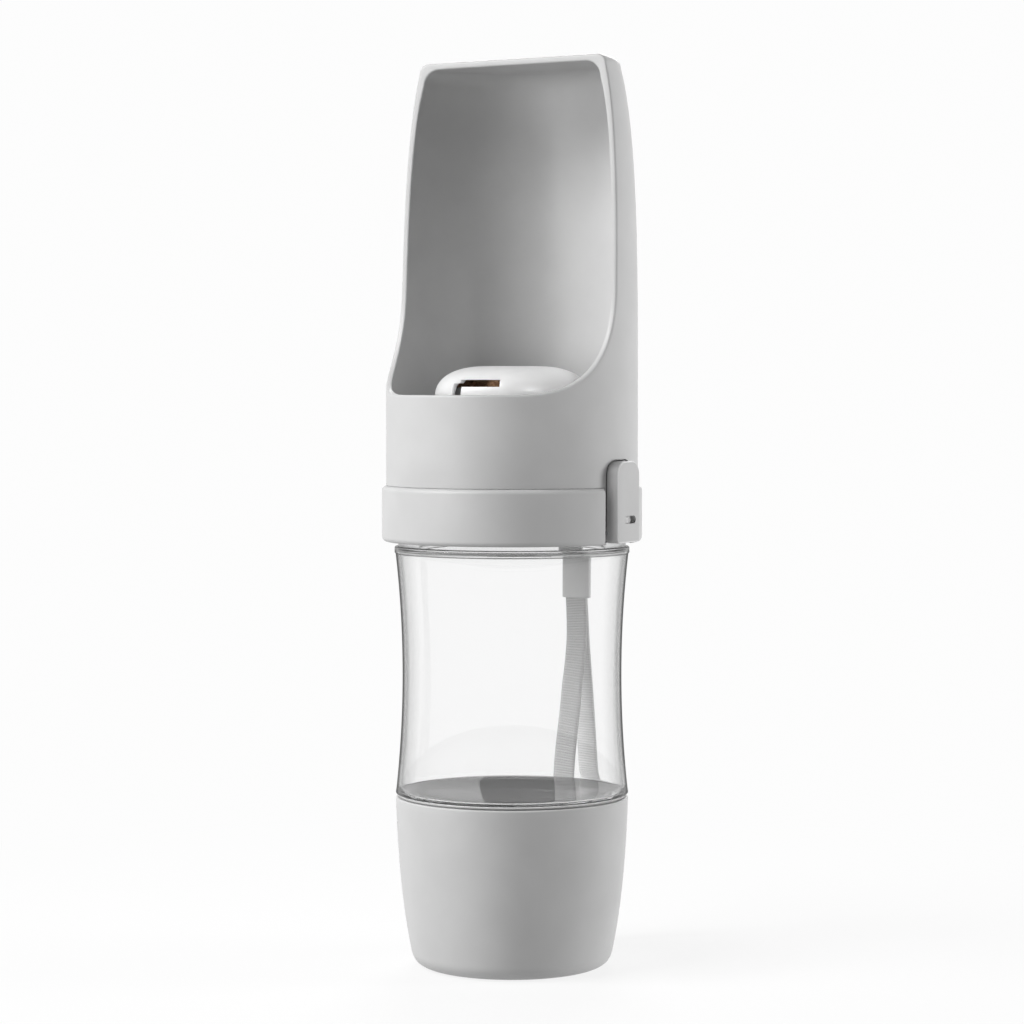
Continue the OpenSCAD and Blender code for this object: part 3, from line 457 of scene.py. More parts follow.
finishes = {
    "grey_shell": mouldedPlastic("greyShell", grey(184), grey(189), 0.46),
    "clear_bottle": clearPlastic(),
    "white_plastic": mouldedPlastic("whitePlastic", grey(238), grey(243), 0.34, bump=0.06,
                                    Subsurface_Weight=0.7, Subsurface_Radius=(1, 1, 1),
                                    Subsurface_Scale=0.012),
    "mid_grey_plastic": mouldedPlastic("midGreyPlastic", grey(150), grey(158), 0.5),
    "dark_seal": mouldedPlastic("darkSeal", (58, 59, 60), (72, 73, 74), 0.7, 0.2, 0.2),
    "pale_seal": mouldedPlastic("paleSeal", (214, 216, 216), (224, 226, 226), 0.6, 0.25, 0.15),
    "brown_filter": granules(),
    "steel": brushedSteel(),
    "seal_grey": mouldedPlastic("sealGrey", grey(146), grey(156), 0.65, 0.2, 0.2),
    # a paler grey that paints a highlight on the lever's front bevel
    "painted_bevel_highlight": mouldedPlastic("paintedBevelHighlight", grey(214), grey(222), 0.4),
    "ferrule_grey": mouldedPlastic("ferruleGrey", grey(182), grey(190), 0.42),
    "strap_cord": mouldedPlastic("strapCord", (196, 197, 196), (208, 209, 208), 0.55, 0.3, 0.3),
    "webbing": wovenFinish("wovenPolyester", grey(144), grey(168)),
    # a paler copy of the webbing, painted light for the inside of the loop
    "paintedLightSide": wovenFinish("wovenPaintedLightSide", grey(186), grey(212)),
}


def dress(piece, body, slot, smoothAngle=35, replaced=(), finish=None):
    piece.data.materials.clear()
    piece.data.materials.append(finishes[finish or slot])
    pick(piece)
    bpy.ops.object.shade_smooth_by_angle(angle=math.radians(smoothAngle))
    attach(piece, body)
    if replaced:
        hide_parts(*replaced)


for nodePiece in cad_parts.values():
    for held in nodePiece.material_slots:
        held.material = finishes[held.material.name]
print("finishes made")

# Ferrule and eyelet cord of the strap
ferrule = {"width": 10.1, "thickness": 3.1, "top": 121.8, "foot": 105.8, "y": 39.3, "edge": 0.35,
           "fullness": 2.6, "sides": 64, "pocket": 5, "pocketWidth": 7.4, "pocketDepth": 2.1, "cordX": 2.2,
           "cordHole": 4}
eyelet = {"y": 39.4, "z": 127.2, "radius": 0.7, "bend": 1.2, "sides": 20, "bendSteps": 8}

ferruleY, ferruleFoot, ferruleTop, cordX = take(ferrule, "y foot top cordX")
strapFerrule = addRod("strapFerrule", (0, 0, ferruleFoot), (0, 0, ferruleTop), 1, ferrule["sides"])
for v in strapFerrule.data.vertices:  # a rounded box section, fuller than an oval
    across, through = [math.copysign(abs(c / mm) ** (2 / ferrule["fullness"]), c) for c in v.co.xy]
    v.co.xy = (across * ferrule["width"] / 2 * mm, (ferruleY + through * ferrule["thickness"] / 2) * mm)
soften(strapFerrule, ferrule["edge"], segments=4, angle=60)
halfWidth, halfDepth = ferrule["pocketWidth"] / 2, ferrule["pocketDepth"] / 2
carve(strapFerrule, addBlock("pocketTool", (-halfWidth, ferruleY - halfDepth, ferruleFoot - past),
                             (halfWidth, ferruleY + halfDepth, ferruleFoot + ferrule["pocket"])))
cordFoot = ferruleTop - ferrule["cordHole"]
for x in (-cordX, cordX):
    carve(strapFerrule, addRod("cordTool", (x, eyelet["y"], cordFoot), (x, eyelet["y"], ferruleTop + past),
                               eyelet["radius"]))
dress(strapFerrule, "strap", "mid_grey_plastic", replaced=["strap_sleeve"], finish="ferrule_grey")

dress(wristWebbing, "strap", "webbing", 60, ["wrist_strap"])
wristWebbing.data.materials.append(finishes["paintedLightSide"])
# Painted light: the inside of the loop is paler, so that the far strand looks lit from behind
for k in paintedLightFaces:  # the inside of the loop is paler
    wristWebbing.data.polygons[k].material_index = 1

bpy.ops.object.select_all(action="DESELECT")
bpy.ops.mesh.primitive_circle_add(vertices=eyelet["sides"], radius=eyelet["radius"] * mm, fill_type="NGON")
eyeletCord = named("eyeletCord")
bpy.ops.object.mode_set(mode="EDIT")
bendFoot = eyelet["z"] - eyelet["bend"]
bendAt = cordX - eyelet["bend"]
bpy.ops.transform.translate(value=(-cordX * mm, eyelet["y"] * mm, cordFoot * mm))
pull(0, 0, bendFoot - cordFoot)
for centreX, x, z in ((-bendAt, 2 * bendAt, 0), (bendAt, 0, cordFoot - bendFoot)):  # over and down again
    bpy.ops.mesh.spin(steps=eyelet["bendSteps"], angle=-math.pi / 2, axis=(0, 1, 0),
                      center=(centreX * mm, eyelet["y"] * mm, bendFoot * mm))
    pull(x, 0, z)
tidyMesh()
dress(eyeletCord, "strap", "strap_cord", 60, ["strap_loop"])
print("ferrule and eyelet cord made")

# Food cup
cup = {"flare": 4.45, "footWidth": 6.6, "footHeight": 5, "wall": 2.2, "floor": 2.5, "rimWall": 2.65,
       "threadHeight": 9.7, "ridgeRise": 2.85, "midRadius": 33.2, "midHeight": 22.2, "innerRound": 0.3}

cupTop, cupRadius = boxOf("food_cup")[1].z, boxOf("food_cup")[1].x
midRadius, midHeight, cupFloor, innerRound = take(cup, "midRadius midHeight floor innerRound")
footRadius = cupRadius - cup["flare"]
baseRadius = footRadius - cup["footWidth"]
cupBore = cupRadius - cup["rimWall"]
threadFoot = cupTop - cup["threadHeight"]
rimRound = cup["rimWall"] / 5
footTop = (footRadius, cup["footHeight"])
insideRadius = footRadius - cup["wall"]
insideFoot = (insideRadius, cup["footHeight"] + cupFloor)
foodCup = spinOutline("foodCup", [
    (0, 0),
    *curvePoints([(baseRadius, 0), (footRadius - cup["footWidth"] / 9, 0), footTop], 16),
    *curvePoints([footTop, (midRadius, midHeight), (cupRadius, cupTop - rimRound)], 28)[1:],
    *arcPoints((cupRadius - rimRound, cupTop - rimRound), rimRound, 0, 90, 5)[1:],
    *arcPoints((cupBore + innerRound, cupTop - innerRound), innerRound, 90, 180, 4),
    *curvePoints([(cupBore, threadFoot), (cupBore, threadFoot - cup["wall"]),
                  (midRadius - cup["wall"], midHeight), insideFoot], 24),
    *curvePoints([insideFoot, (insideRadius, cupFloor), (baseRadius, cupFloor)], 10)[1:],
    (0, cupFloor)])
ridgeFoot = threadFoot + cup["ridgeRise"]
carve(foodCup, threadRidge("cupRidge", cupBore, ridgeFoot, 0, -1), "UNION")
dress(foodCup, "base", "grey_shell", replaced=["food_cup"])

gasket = {"edge": 0.35, "crown": 0.12, "corner": 0.2, "gap": 0.1}
low, high = boxOf("cup_gasket")
gasketBore, gasketEdge = cupBore + gasket["gap"], high.x - gasket["edge"]
crown, corner = high.x + gasket["crown"], gasket["corner"]
cupGasket = spinOutline("cupGasket", [
    (gasketBore, low.z), (gasketEdge, low.z),
    *curvePoints([(gasketEdge, low.z), (crown, low.z + corner), (crown, high.z - corner),
                  (gasketEdge, high.z)], 10)[1:],
    (gasketBore, high.z), (gasketBore, low.z)])
dress(cupGasket, "cup_seal", "dark_seal", replaced=["cup_gasket"], finish="seal_grey")
print("food cup made")

# Clear bottle
bottle = {"wall": 1.7, "sideWall": 0.9, "floor": 0.6, "endRadius": 34.05, "waistDepth": 1.99,
          "waistFoot": 51.0, "waistHeight": 70.3, "waistSteps": 48, "ringProud": 0.3, "ringHeight": 2.0,
          "ringEdge": 0.4, "stepInset": 0.7, "stepHeight": 1.9, "neckInset": 5.05, "spigotRadius": 29.9,
          "spigotEdge": 0.3, "neckRidge": 126.91, "ridgeDrop": 1.65, "spigotRidgeAngle": 120,
          "footEdge": 0.3, "insideCorner": 0.6, "shoulderCorner": 1.6, "cornerShare": 0.03}

bottleLow, bottleHigh = boxOf("bottle_body")
endRadius, wall, sideWall, waistFoot = take(bottle, "endRadius wall sideWall waistFoot")
footEdge, ringEdge, inner, shoulder = take(bottle, "footEdge ringEdge insideCorner shoulderCorner")
spigotRadius, spigotEdge, waistSteps = take(bottle, "spigotRadius spigotEdge waistSteps")
ringFoot = waistFoot + bottle["waistHeight"]
ringTop = ringFoot + bottle["ringHeight"]
stepTop = ringTop + bottle["stepHeight"]
floorTop = waistFoot + bottle["floor"]
neckRadius = endRadius - bottle["neckInset"]
mouthRadius = neckRadius - wall
mouthRound = wall / 4
mouthTop = bottleHigh.z - mouthRound
ringCentre = endRadius + bottle["ringProud"] - ringEdge
stepRadius = endRadius - bottle["stepInset"]
spigotInside = spigotRadius - wall


def waistRadius(share):
    return endRadius - bottle["waistDepth"] * (1 - (2 * share - 1) ** 2)


def waistPoint(i, inset):
    share = i / waistSteps
    return waistRadius(share) - inset, waistFoot + bottle["waistHeight"] * share


cornerRadius = waistRadius(bottle["cornerShare"]) - sideWall - inner
clearBottle = spinOutline("clearBottle", [
    (spigotInside, bottleLow.z), (spigotRadius - spigotEdge, bottleLow.z),
    (spigotRadius, bottleLow.z + spigotEdge), (spigotRadius, waistFoot),
    *arcPoints((endRadius - footEdge, waistFoot + footEdge), footEdge, -90, 0, 6),
    *[waistPoint(i, 0) for i in range(1, waistSteps)],
    (endRadius, ringFoot),
    *arcPoints((ringCentre, ringFoot + ringEdge), ringEdge, -60, 0, 5),
    *arcPoints((ringCentre, ringTop - ringEdge), ringEdge, 0, 90, 6),
    (stepRadius, ringTop), (stepRadius, stepTop), (neckRadius, stepTop),
    *arcPoints((neckRadius - mouthRound, mouthTop), mouthRound, 0, 90, 5),
    *arcPoints((mouthRadius + mouthRound, mouthTop), mouthRound, 90, 180, 4),
    *arcPoints((mouthRadius + inner, stepTop - wall - inner), -inner, 0, -60, 4),
    *arcPoints((endRadius - sideWall - shoulder, stepTop - wall - shoulder), shoulder, 90, 0, 8),
    *[waistPoint(i, sideWall) for i in range(waistSteps, 1, -1)],
    *arcPoints((cornerRadius, floorTop + inner), inner, 0, -90, 6),
    (0, floorTop), (0, waistFoot), (spigotInside, waistFoot), (spigotInside, bottleLow.z)])
carve(clearBottle, threadRidge("neckRidge", neckRadius, bottle["neckRidge"], 0, 1), "UNION")
carve(clearBottle, threadRidge("spigotRidge", spigotRadius, ridgeFoot - bottle["ridgeDrop"],
                               bottle["spigotRidgeAngle"], 1), "UNION")
dress(clearBottle, "bottle", "clear_bottle", replaced=["bottle_body"])
clearBottle.visible_shadow = False  # lamps shine through it into the cup
print("bottle made")

# Collar cap with the lever's pocket
collar = {"wall": 1.8, "threadWall": 1.8, "boreRadius": 30.5, "deckFoot": 134.5, "deckTop": 137,
          "skirtFoot": 125.6, "socketRadius": 36.0, "round": 1.44, "footEdge": 0.25,
          "groove": (0.35, 138.23, 139.43), "ridge": 125.26, "ridgeAngle": 135, "valveX": 15, "valveHole": 5,
          "valveSides": 64, "seatWidth": 0.8, "seatHeight": 0.4, "seatEdge": 0.2, "bite": 0.4,
          "strapSlot": (2.5, 125.55, 129.05), "notch": (35.3, 36.95, 129.9, 133.85)}
pocket = {"back": 33.2, "front": 40.65, "y": -1.6, "width": 16.2, "foot": 124.3, "top": 149.2, "corner": 5.1,
          "footCorner": 1, "wall": 1.4, "pinX": 35.4, "pinZ": 128.2, "pinRadius": 0.75, "ledge": 35.8,
          "innerY": -1, "innerWidth": 13.3, "innerTop": 148.9, "innerCorner": 4.4}


def padOutline(name, x, y, width, foot, top, corner, footCorner):
    half = width / 2
    loop = [*arcPoints((half - footCorner, foot + footCorner), footCorner, -90, 0, 4),
            *arcPoints((half - corner, top - corner), corner, 0, 90, 10),
            *arcPoints((corner - half, top - corner), corner, 90, 180, 10),
            *arcPoints((footCorner - half, foot + footCorner), footCorner, 180, 270, 4)]
    piece = drawOutline(name, [(x, y + a, z) for a, z in loop])
    bpy.ops.mesh.edge_face_add()
    return piece


def cutPocket(piece):  # wide at the face, with a ledge and a narrower hole behind it
    for names in ("ledge y width foot top corner footCorner",
                  "back innerY innerWidth foot innerTop innerCorner footCorner"):
        shape = take(pocket, names)
        tool = padOutline("pocketTool", *shape)
        pull(pocket["front"] - shape[0], 0, 0)
        tidyMesh()
        carve(piece, tool)


pinX, pinZ, pocketY = take(pocket, "pinX pinZ y")
pocketSide = pocket["width"] / 2
housingSide = pocketSide + pocket["wall"]


def pocketHousing(low, high, backX, radius):  # the walls round the pocket, inside a round wall
    piece = addBlock("pocketHousing", (backX, pocketY - housingSide, low),
                     (radius + 2 * past, pocketY + housingSide, high))
    wall = addRod("housingTool", (0, 0, low - 5 * past), (0, 0, high + 5 * past), radius, roundSteps)
    carve(piece, wall, "INTERSECT")
    return piece


collarLow, collarHigh = boxOf("collar_cap")
collarRadius = collarHigh.y
collarInside = collarRadius - collar["wall"]
boreRadius, deckFoot, deckTop, skirtFoot = take(collar, "boreRadius deckFoot deckTop skirtFoot")
socket, edgeRound, collarEdge = take(collar, "socketRadius round footEdge")
threadOutside = boreRadius + collar["threadWall"]
grooveDepth, grooveFoot, grooveTop = collar["groove"]
collarCap = spinOutline("collarCap", [
    (0, deckFoot), (boreRadius, deckFoot), (boreRadius, skirtFoot), (threadOutside, skirtFoot),
    (threadOutside, deckFoot), (collarInside, deckFoot), (collarInside, collarLow.z + collarEdge),
    (collarInside + collarEdge, collarLow.z),
    *arcPoints((collarRadius - edgeRound, collarLow.z + edgeRound), edgeRound, -90, 0, 10),
    *arcPoints((collarRadius - edgeRound, collarHigh.z - edgeRound), edgeRound, 0, 90, 10),
    (socket, collarHigh.z), (socket, grooveTop), (socket + grooveDepth, grooveTop),
    (socket + grooveDepth, grooveFoot), (socket, grooveFoot), (socket, deckTop), (0, deckTop)])
carve(collarCap, threadRidge("collarRidge", boreRadius, collar["ridge"], collar["ridgeAngle"], -1), "UNION")
bite, seatEdge, valveX, valveHole, valveSides = take(collar, "bite seatEdge valveX valveHole valveSides")
seatFoot, seatTop = deckFoot - collar["seatHeight"], deckFoot + bite
seatInner, seatOuter = valveHole - bite, valveHole + collar["seatWidth"]
seatOutline = [(seatInner, seatFoot), (seatOuter - seatEdge, seatFoot), (seatOuter, seatFoot + seatEdge),
               (seatOuter, seatTop), (seatInner, seatTop), (seatInner, seatFoot)]
carve(collarCap, spinOutline("seatLip", seatOutline, valveSides, (valveX, 0)), "UNION")
housing = pocketHousing(skirtFoot, deckTop, boreRadius + bite, collarRadius - collar["wall"] / 2)
carve(collarCap, housing, "UNION")
carve(collarCap, addRod("valveTool", (valveX, 0, seatFoot - past), (valveX, 0, deckTop + past), valveHole,
                        valveSides))
cutPocket(collarCap)
carve(collarCap, addRod("pinTool", (pinX, pocketY - housingSide, pinZ), (pinX, pocketY + housingSide, pinZ),
                        pocket["pinRadius"]))
notchBack, notchFront, notchFoot, notchTop = collar["notch"]
carve(collarCap, addBlock("notchTool", (notchBack, pocketY, notchFoot),
                          (notchFront, pocketY + pocketSide + past, notchTop)))
slotWidth, slotFoot, slotTop = collar["strapSlot"]
carve(collarCap, addBlock("strapSlotTool", (-slotWidth / 2, collarInside - past, slotFoot),
                          (slotWidth / 2, collarRadius + past, slotTop)))
dress(collarCap, "head", "grey_shell", replaced=["collar_cap"])
print("collar made")

# Drinking scoop: a tall hood with a bowl at its foot, cut open along a curve in the YZ plane
scoop = {"radius": 36.75, "wall": 1.9, "lip": 167.5, "lipMargin": 0.001, "roof": 265.0, "taper": 5.05,
         "roofRound": 3, "ceilingRound": 5, "sideHandles": ((0, 0.385), (0.16, 0.774)), "bowlFloor": 155,
         "floorUnder": 153, "fillet": 3, "riserHole": 8.3, "join": 160, "chamber": 34.0, "spigot": 35.9,
         "bead": 36.25, "beadFoot": 138.33, "beadTop": 139.33, "beadSlope": 0.3, "foot": 137.3, "ledge": 141,
         "ledgeRound": 0.35, "rimTop": (-0.59, 265),
         "rim": [(-29.99, 167.5), (-17.02, 168.18), (-4.19, 178.03), (-3.01, 197.04)],
         "columns": 96, "turnColumn": 40, "lowRows": 6, "wallRows": 36, "cornerRows": 8, "roofRows": 14,
         "edge": 0.55, "footClear": 1, "keyX": 31.8, "keyDrop": 1, "window": (30.8, 34.2, 3.1, 141.8, 147.6)}

lip, roof, join = take(scoop, "lip roof join")


def skinShape(inset):
    radius, top = scoop["radius"] - inset, roof - inset
    corner = scoop["ceilingRound"] if inset else scoop["roofRound"]
    reach = radius - scoop["taper"]
    side = [(radius - narrower, lip + (roof - lip) * share) for narrower, share in scoop["sideHandles"]]
    return {"radius": radius, "corner": corner, "top": top, "reach": reach,
            "side": [(radius, lip), *side, (reach, top - corner)]}


def skinRadius(skin, height):
    if height <= lip:
        return skin["radius"]
    if height <= skin["top"] - skin["corner"]:
        return curveAt(skin["side"], height)
    rise = min(1, (height - skin["top"] + skin["corner"]) / skin["corner"])
    return skin["reach"] - skin["corner"] * (1 - math.sqrt(1 - rise * rise))


def rimAt(height):
    (startY, startZ), (endY, endZ) = scoop["rim"][-1], scoop["rimTop"]
    if height <= startZ:
        return curveAt(scoop["rim"], max(height, lip))
    return startY + (height - startZ) / (endZ - startZ) * (endY - startY)


def rimTurn(skin, height):  # angle from -Y at which the rim crosses this height
    return math.acos(min(1, max(-1, -rimAt(height) / skinRadius(skin, height))))


def rimHeight(skin, turn):
    if turn <= rimTurn(skin, lip + scoop["lipMargin"]):
        return lip
    return searchBetween(lip, scoop["rim"][-1][1], lambda height: rimTurn(skin, height) < turn)


def shapeGrid(name, rows):  # a grid with its points laid out row by row
    bpy.ops.object.select_all(action="DESELECT")
    bpy.ops.mesh.primitive_grid_add(x_subdivisions=len(rows[0]) - 1, y_subdivisions=len(rows) - 1, size=mm)
    piece = named(name)
    piece.data.vertices.foreach_set("co", [c * mm for row in rows for point in row for c in point])
    piece.data.update()
    return piece


def onSkin(radius, turn, height):
    return (radius * math.sin(turn), -radius * math.cos(turn), height)


def hoodSkin(name, inset):
    skin = skinShape(inset)
    last, turnAt, lowRows, wallRows = take(scoop, "columns turnColumn lowRows wallRows")
    turns = [math.pi * i / last for i in range(last + 1)]
    rimFoot = rimHeight(skin, turns[turnAt])
    tops = [rimHeight(skin, t) if i <= turnAt else rimFoot for i, t in enumerate(turns)]
    low = []
    for j in range(lowRows + 1):
        heights = [join + (top - join) * j / lowRows for top in tops]
        low.append([onSkin(skinRadius(skin, z), t, z) for t, z in zip(turns, heights)])
    shares = [(t - turns[turnAt]) / (math.pi - turns[turnAt]) for t in turns[turnAt:]]
    cornerFoot = skin["top"] - skin["corner"]
    levels = [rimFoot + (cornerFoot - rimFoot) * j / wallRows for j in range(wallRows + 1)]
    levels = [(z, skinRadius(skin, z)) for z in levels]
    for j in range(1, scoop["cornerRows"] + 1):
        rise = math.pi / 2 * j / scoop["cornerRows"]
        narrower = skin["corner"] * (1 - math.cos(rise))
        levels.append((cornerFoot + skin["corner"] * math.sin(rise), skin["reach"] - narrower))
    high = []
    for z, radius in levels:
        start = math.acos(-rimAt(z) / radius)
        high.append([onSkin(radius, start + (math.pi - start) * share, z) for share in shares])
    edgeRow = high[-1]
    for j in range(1, scoop["roofRows"] + 1):
        narrow = 1 - j / scoop["roofRows"]
        high.append([(x * narrow, y, z) for x, y, z in edgeRow])
    return joinPieces(shapeGrid(name, low), shapeGrid(name + "Upper", high))


drinkingScoop = joinPieces(hoodSkin("drinkingScoop", 0), hoodSkin("hoodInside", scoop["wall"]))
reshape(drinkingScoop, "MIRROR", merge_threshold=weldGap * mm)
bpy.ops.object.mode_set(mode="EDIT")
bpy.ops.mesh.select_all(action="SELECT")
bpy.ops.mesh.remove_doubles(threshold=weldGap * mm)
bpy.ops.mesh.select_all(action="DESELECT")
bpy.ops.mesh.select_non_manifold()
bpy.ops.object.mode_set(mode="OBJECT")
for v in drinkingScoop.data.vertices:  # the open edges of the rim, not those of the foot
    v.select = v.select and v.co.z > (join + scoop["footClear"]) * mm
for e in drinkingScoop.data.edges:
    e.select = e.select and all(drinkingScoop.data.vertices[k].select for k in e.vertices)
bpy.ops.object.mode_set(mode="EDIT")
bpy.ops.mesh.bridge_edge_loops()
bpy.ops.mesh.select_all(action="SELECT")
bpy.ops.mesh.normals_make_consistent(inside=False)
bpy.ops.object.mode_set(mode="OBJECT")
soften(drinkingScoop, scoop["edge"], segments=4, angle=45)

radius, spigot, foot, ledge, ledgeRound = take(scoop, "radius spigot foot ledge ledgeRound")
bead, beadFoot, beadTop, beadSlope = take(scoop, "bead beadFoot beadTop beadSlope")
chamber, riserHole, fillet = take(scoop, "chamber riserHole fillet")
floorUnder, bowlFloor = take(scoop, "floorUnder bowlFloor")
bowlWall = radius - scoop["wall"]
joinPieces(drinkingScoop, spinOutline("scoopFoot", [
    (radius, join), (radius, (join + ledge) / 2),
    *arcPoints((radius - ledgeRound, ledge + ledgeRound), ledgeRound, 0, -90, 4),
    (spigot, ledge), (spigot, beadTop + beadSlope), (bead, beadTop), (bead, beadFoot),
    (spigot, beadFoot - beadSlope), (spigot, foot), (chamber, foot), (chamber, floorUnder),
    (riserHole, floorUnder), (riserHole, bowlFloor),
    *arcPoints((bowlWall - fillet, bowlFloor + fillet), fillet, -90, 0, 10),
    (bowlWall, join)]))
bpy.ops.object.mode_set(mode="EDIT")
tidyMesh()
carve(drinkingScoop, pocketHousing(foot, bowlFloor - scoop["keyDrop"], scoop["keyX"], spigot), "UNION")
cutPocket(drinkingScoop)
windowBack, windowFront, windowSide, windowFoot, windowTop = scoop["window"]
carve(drinkingScoop, addBlock("windowTool", (windowBack, -windowSide, windowFoot),
                              (windowFront, windowSide, windowTop)))
dress(drinkingScoop, "head", "grey_shell", replaced=["drinking_scoop"])
print("drinking scoop made,", len(drinkingScoop.data.polygons), "faces")

# Outlet cover with its two slots, and the cartridge seen through them
cover = {"radius": 22.5, "shoulder": 8.8, "rise": 0.68, "reachIn": 0.711, "flat": 0.356, "wall": 1.4,
         "foot": 155.3, "footEdge": 0.3, "slot": (-104, 35.6, 169.8, 171.8),
         "channel": (-110, 10, 158.4, 170.8), "cutFrom": 18.2, "cutSteps": 32,
         "tab": (18.6, 21.8, 156.7, 1.4), "tabAngle": 24, "tabs": (30, 150, 270), "edge": 0.15}
cartridge = {"core": 8.4, "round": 0.8, "swell": 0.25, "ribs": 48, "hollow": 5, "hollowAt": -101,
             "hollowHalf": 22}


def bandOutline(inner, outer, foot, top):
    return [(inner, foot), (outer, foot), (outer, top), (inner, top)]


coverTop = boxOf("outlet_cover")[1].z
coverRadius, coverWall, coverFoot, coverEdge = take(cover, "radius wall foot footEdge")
coverBore, ceiling = coverRadius - coverWall, coverTop - coverWall
shoulderFoot = coverTop - cover["shoulder"]
handleTop = coverTop - (1 - cover["rise"]) * cover["shoulder"]
handleRadius = cover["reachIn"] * coverRadius
flatRadius = cover["flat"] * coverRadius
outletCover = spinOutline("outletCover", [
    (coverBore, coverFoot), (coverRadius - coverEdge, coverFoot), (coverRadius, coverFoot + coverEdge),
    *curvePoints([(coverRadius, shoulderFoot), (coverRadius, handleTop), (handleRadius, coverTop),
                  (flatRadius, coverTop)], 28),
    (flatRadius / 2, coverTop), (0, coverTop), (0, ceiling),
    *curvePoints([(flatRadius, ceiling), (handleRadius - coverWall * 4 / 3, ceiling),
                  (coverBore, handleTop - coverWall / 3), (coverBore, shoulderFoot)], 24),
    (coverBore, coverFoot)])
tabInner, tabOuter, tabFoot, tabHeight = cover["tab"]
for middle in cover["tabs"]:
    tab = spinSector("tab", bandOutline(tabInner, tabOuter, tabFoot, tabFoot + tabHeight),
                     middle - cover["tabAngle"] / 2, cover["tabAngle"])
    carve(outletCover, tab, "UNION")
for side in (0, 180):
    for start, angle, foot, top in (cover["slot"], cover["channel"]):
        band = bandOutline(cover["cutFrom"], coverRadius + past, foot, top)
        carve(outletCover, spinSector("slotTool", band, start + side, angle, cover["cutSteps"]))
soften(outletCover, cover["edge"], segments=2, angle=50)
dress(outletCover, "cover", "white_plastic", replaced=["outlet_cover"])

low, high = boxOf("filter_cartridge")
packCore, packRound, packRibs = take(cartridge, "core round ribs")
packEdge = high.x - packRound
filterPack = spinOutline("filterPack", [
    (packCore, low.z),
    *arcPoints((packEdge, low.z + packRound), packRound, -90, 0, 5),
    *arcPoints((packEdge, high.z - packRound), packRound, 0, 90, 5),
    (packCore, high.z), (packCore, low.z)], 2 * packRibs)
for v in filterPack.data.vertices:  # ribbed, and hollow behind the dark end of each slot
    if v.co.xy.length > packEdge * mm:
        turn = math.atan2(v.co.y, v.co.x)
        ripple = cartridge["swell"] * (math.cos(packRibs * turn) - 1) / 2
        away = abs((math.degrees(turn) - cartridge["hollowAt"] + 90) % 180 - 90) / cartridge["hollowHalf"]
        hollow = cartridge["hollow"] * math.cos(min(1, away) * math.pi / 2)
        v.co.xy *= 1 + (ripple - hollow) / high.x
dress(filterPack, "head", "brown_filter", replaced=["filter_cartridge"])
print("outlet cover and cartridge made")

# Lever pad and its lock
pad = {"back": 35.9, "front": 39.65, "y": -1, "width": 12.8, "foot": 125.3, "top": 148.6, "corner": 4,
       "footCorner": 1, "faceMargin": 0.01, "bevel": 0.6, "bevelSteps": 5, "paintedHighlight": (0.3, 0.98),
       "slot": (-3.6, 2.9, 130.75, 133),
       "bed": (38.5, -5.25, 130.3, 133.45), "barrel": 1.7, "barrelSides": 48, "bore": 0.82,
       "screws": (136, 144.7), "screwRadius": 0.8, "screwFrom": 35.0, "screwDepth": 3.3}
lock = {"plate": (36.05, 36.85, -5.1, 4.9, 130.45, 133.3), "raised": (38.35, 3),
        "knob": (-3.45, -1.2, 130.9, 132.85), "knobFront": 39.4, "edge": 0.2}

padBack, padFront, screwFrom = take(pad, "back front screwFrom")
padLow, padHigh = pad["y"] - pad["width"] / 2, pad["y"] + pad["width"] / 2
leverPad = padOutline("leverPad", *take(pad, "back y width foot top corner footCorner"))
pull(padFront - padBack, 0, 0)
tidyMesh()
front = leverPad.vertex_groups.new(name="front")
faceFrom = (padFront - pad["faceMargin"]) * mm
front.add([v.index for v in leverPad.data.vertices if v.co.x > faceFrom], 1, "REPLACE")
reshape(leverPad, "BEVEL", width=pad["bevel"] * mm, segments=pad["bevelSteps"], limit_method="VGROUP",
        vertex_group=front.name)
leverPad.vertex_groups.clear()
barrel = addRod("barrel", (pinX, padLow, pinZ), (pinX, padHigh, pinZ), pad["barrel"], pad["barrelSides"])
carve(leverPad, barrel, "UNION")
carve(leverPad, addRod("boreTool", (pinX, padLow - past, pinZ), (pinX, padHigh + past, pinZ), pad["bore"]))


def roundBar(name, x0, x1, y0, y1, z0, z1):  # a bar along X with a round-ended outline
    radius, middle = (z1 - z0) / 2, (z0 + z1) / 2
    ends = [*arcPoints((y1 - radius, middle), radius, -90, 90, 12),
            *arcPoints((y0 + radius, middle), radius, 90, 270, 12)]
    piece = drawOutline(name, [(x0, y, z) for y, z in ends])
    bpy.ops.mesh.edge_face_add()
    pull(x1 - x0, 0, 0)
    tidyMesh()
    return piece


carve(leverPad, roundBar("slotTool", padBack - past / 2, padFront + past, *pad["slot"]))
bedFront, bedStart, bedFoot, bedTop = pad["bed"]
carve(leverPad, addBlock("bedTool", (padBack - past, bedStart, bedFoot), (bedFront, padHigh + past, bedTop)))
for level in pad["screws"]:
    carve(leverPad, addRod("screwTool", (screwFrom, 0, level), (screwFrom + pad["screwDepth"], 0, level),
                           pad["screwRadius"]))
dress(leverPad, "lever", "grey_shell", replaced=["flow_lever"])
# Painted highlight: the faces of the front bevel get a paler finish, standing in for the light line they
# catch
leverPad.data.materials.append(finishes["painted_bevel_highlight"])
highlightLeast, highlightMost = pad["paintedHighlight"]
for face in leverPad.data.polygons:
    if highlightLeast < face.normal.x < highlightMost and face.center.x > (padFront - pad["bevel"]) * mm:
        face.material_index = 1

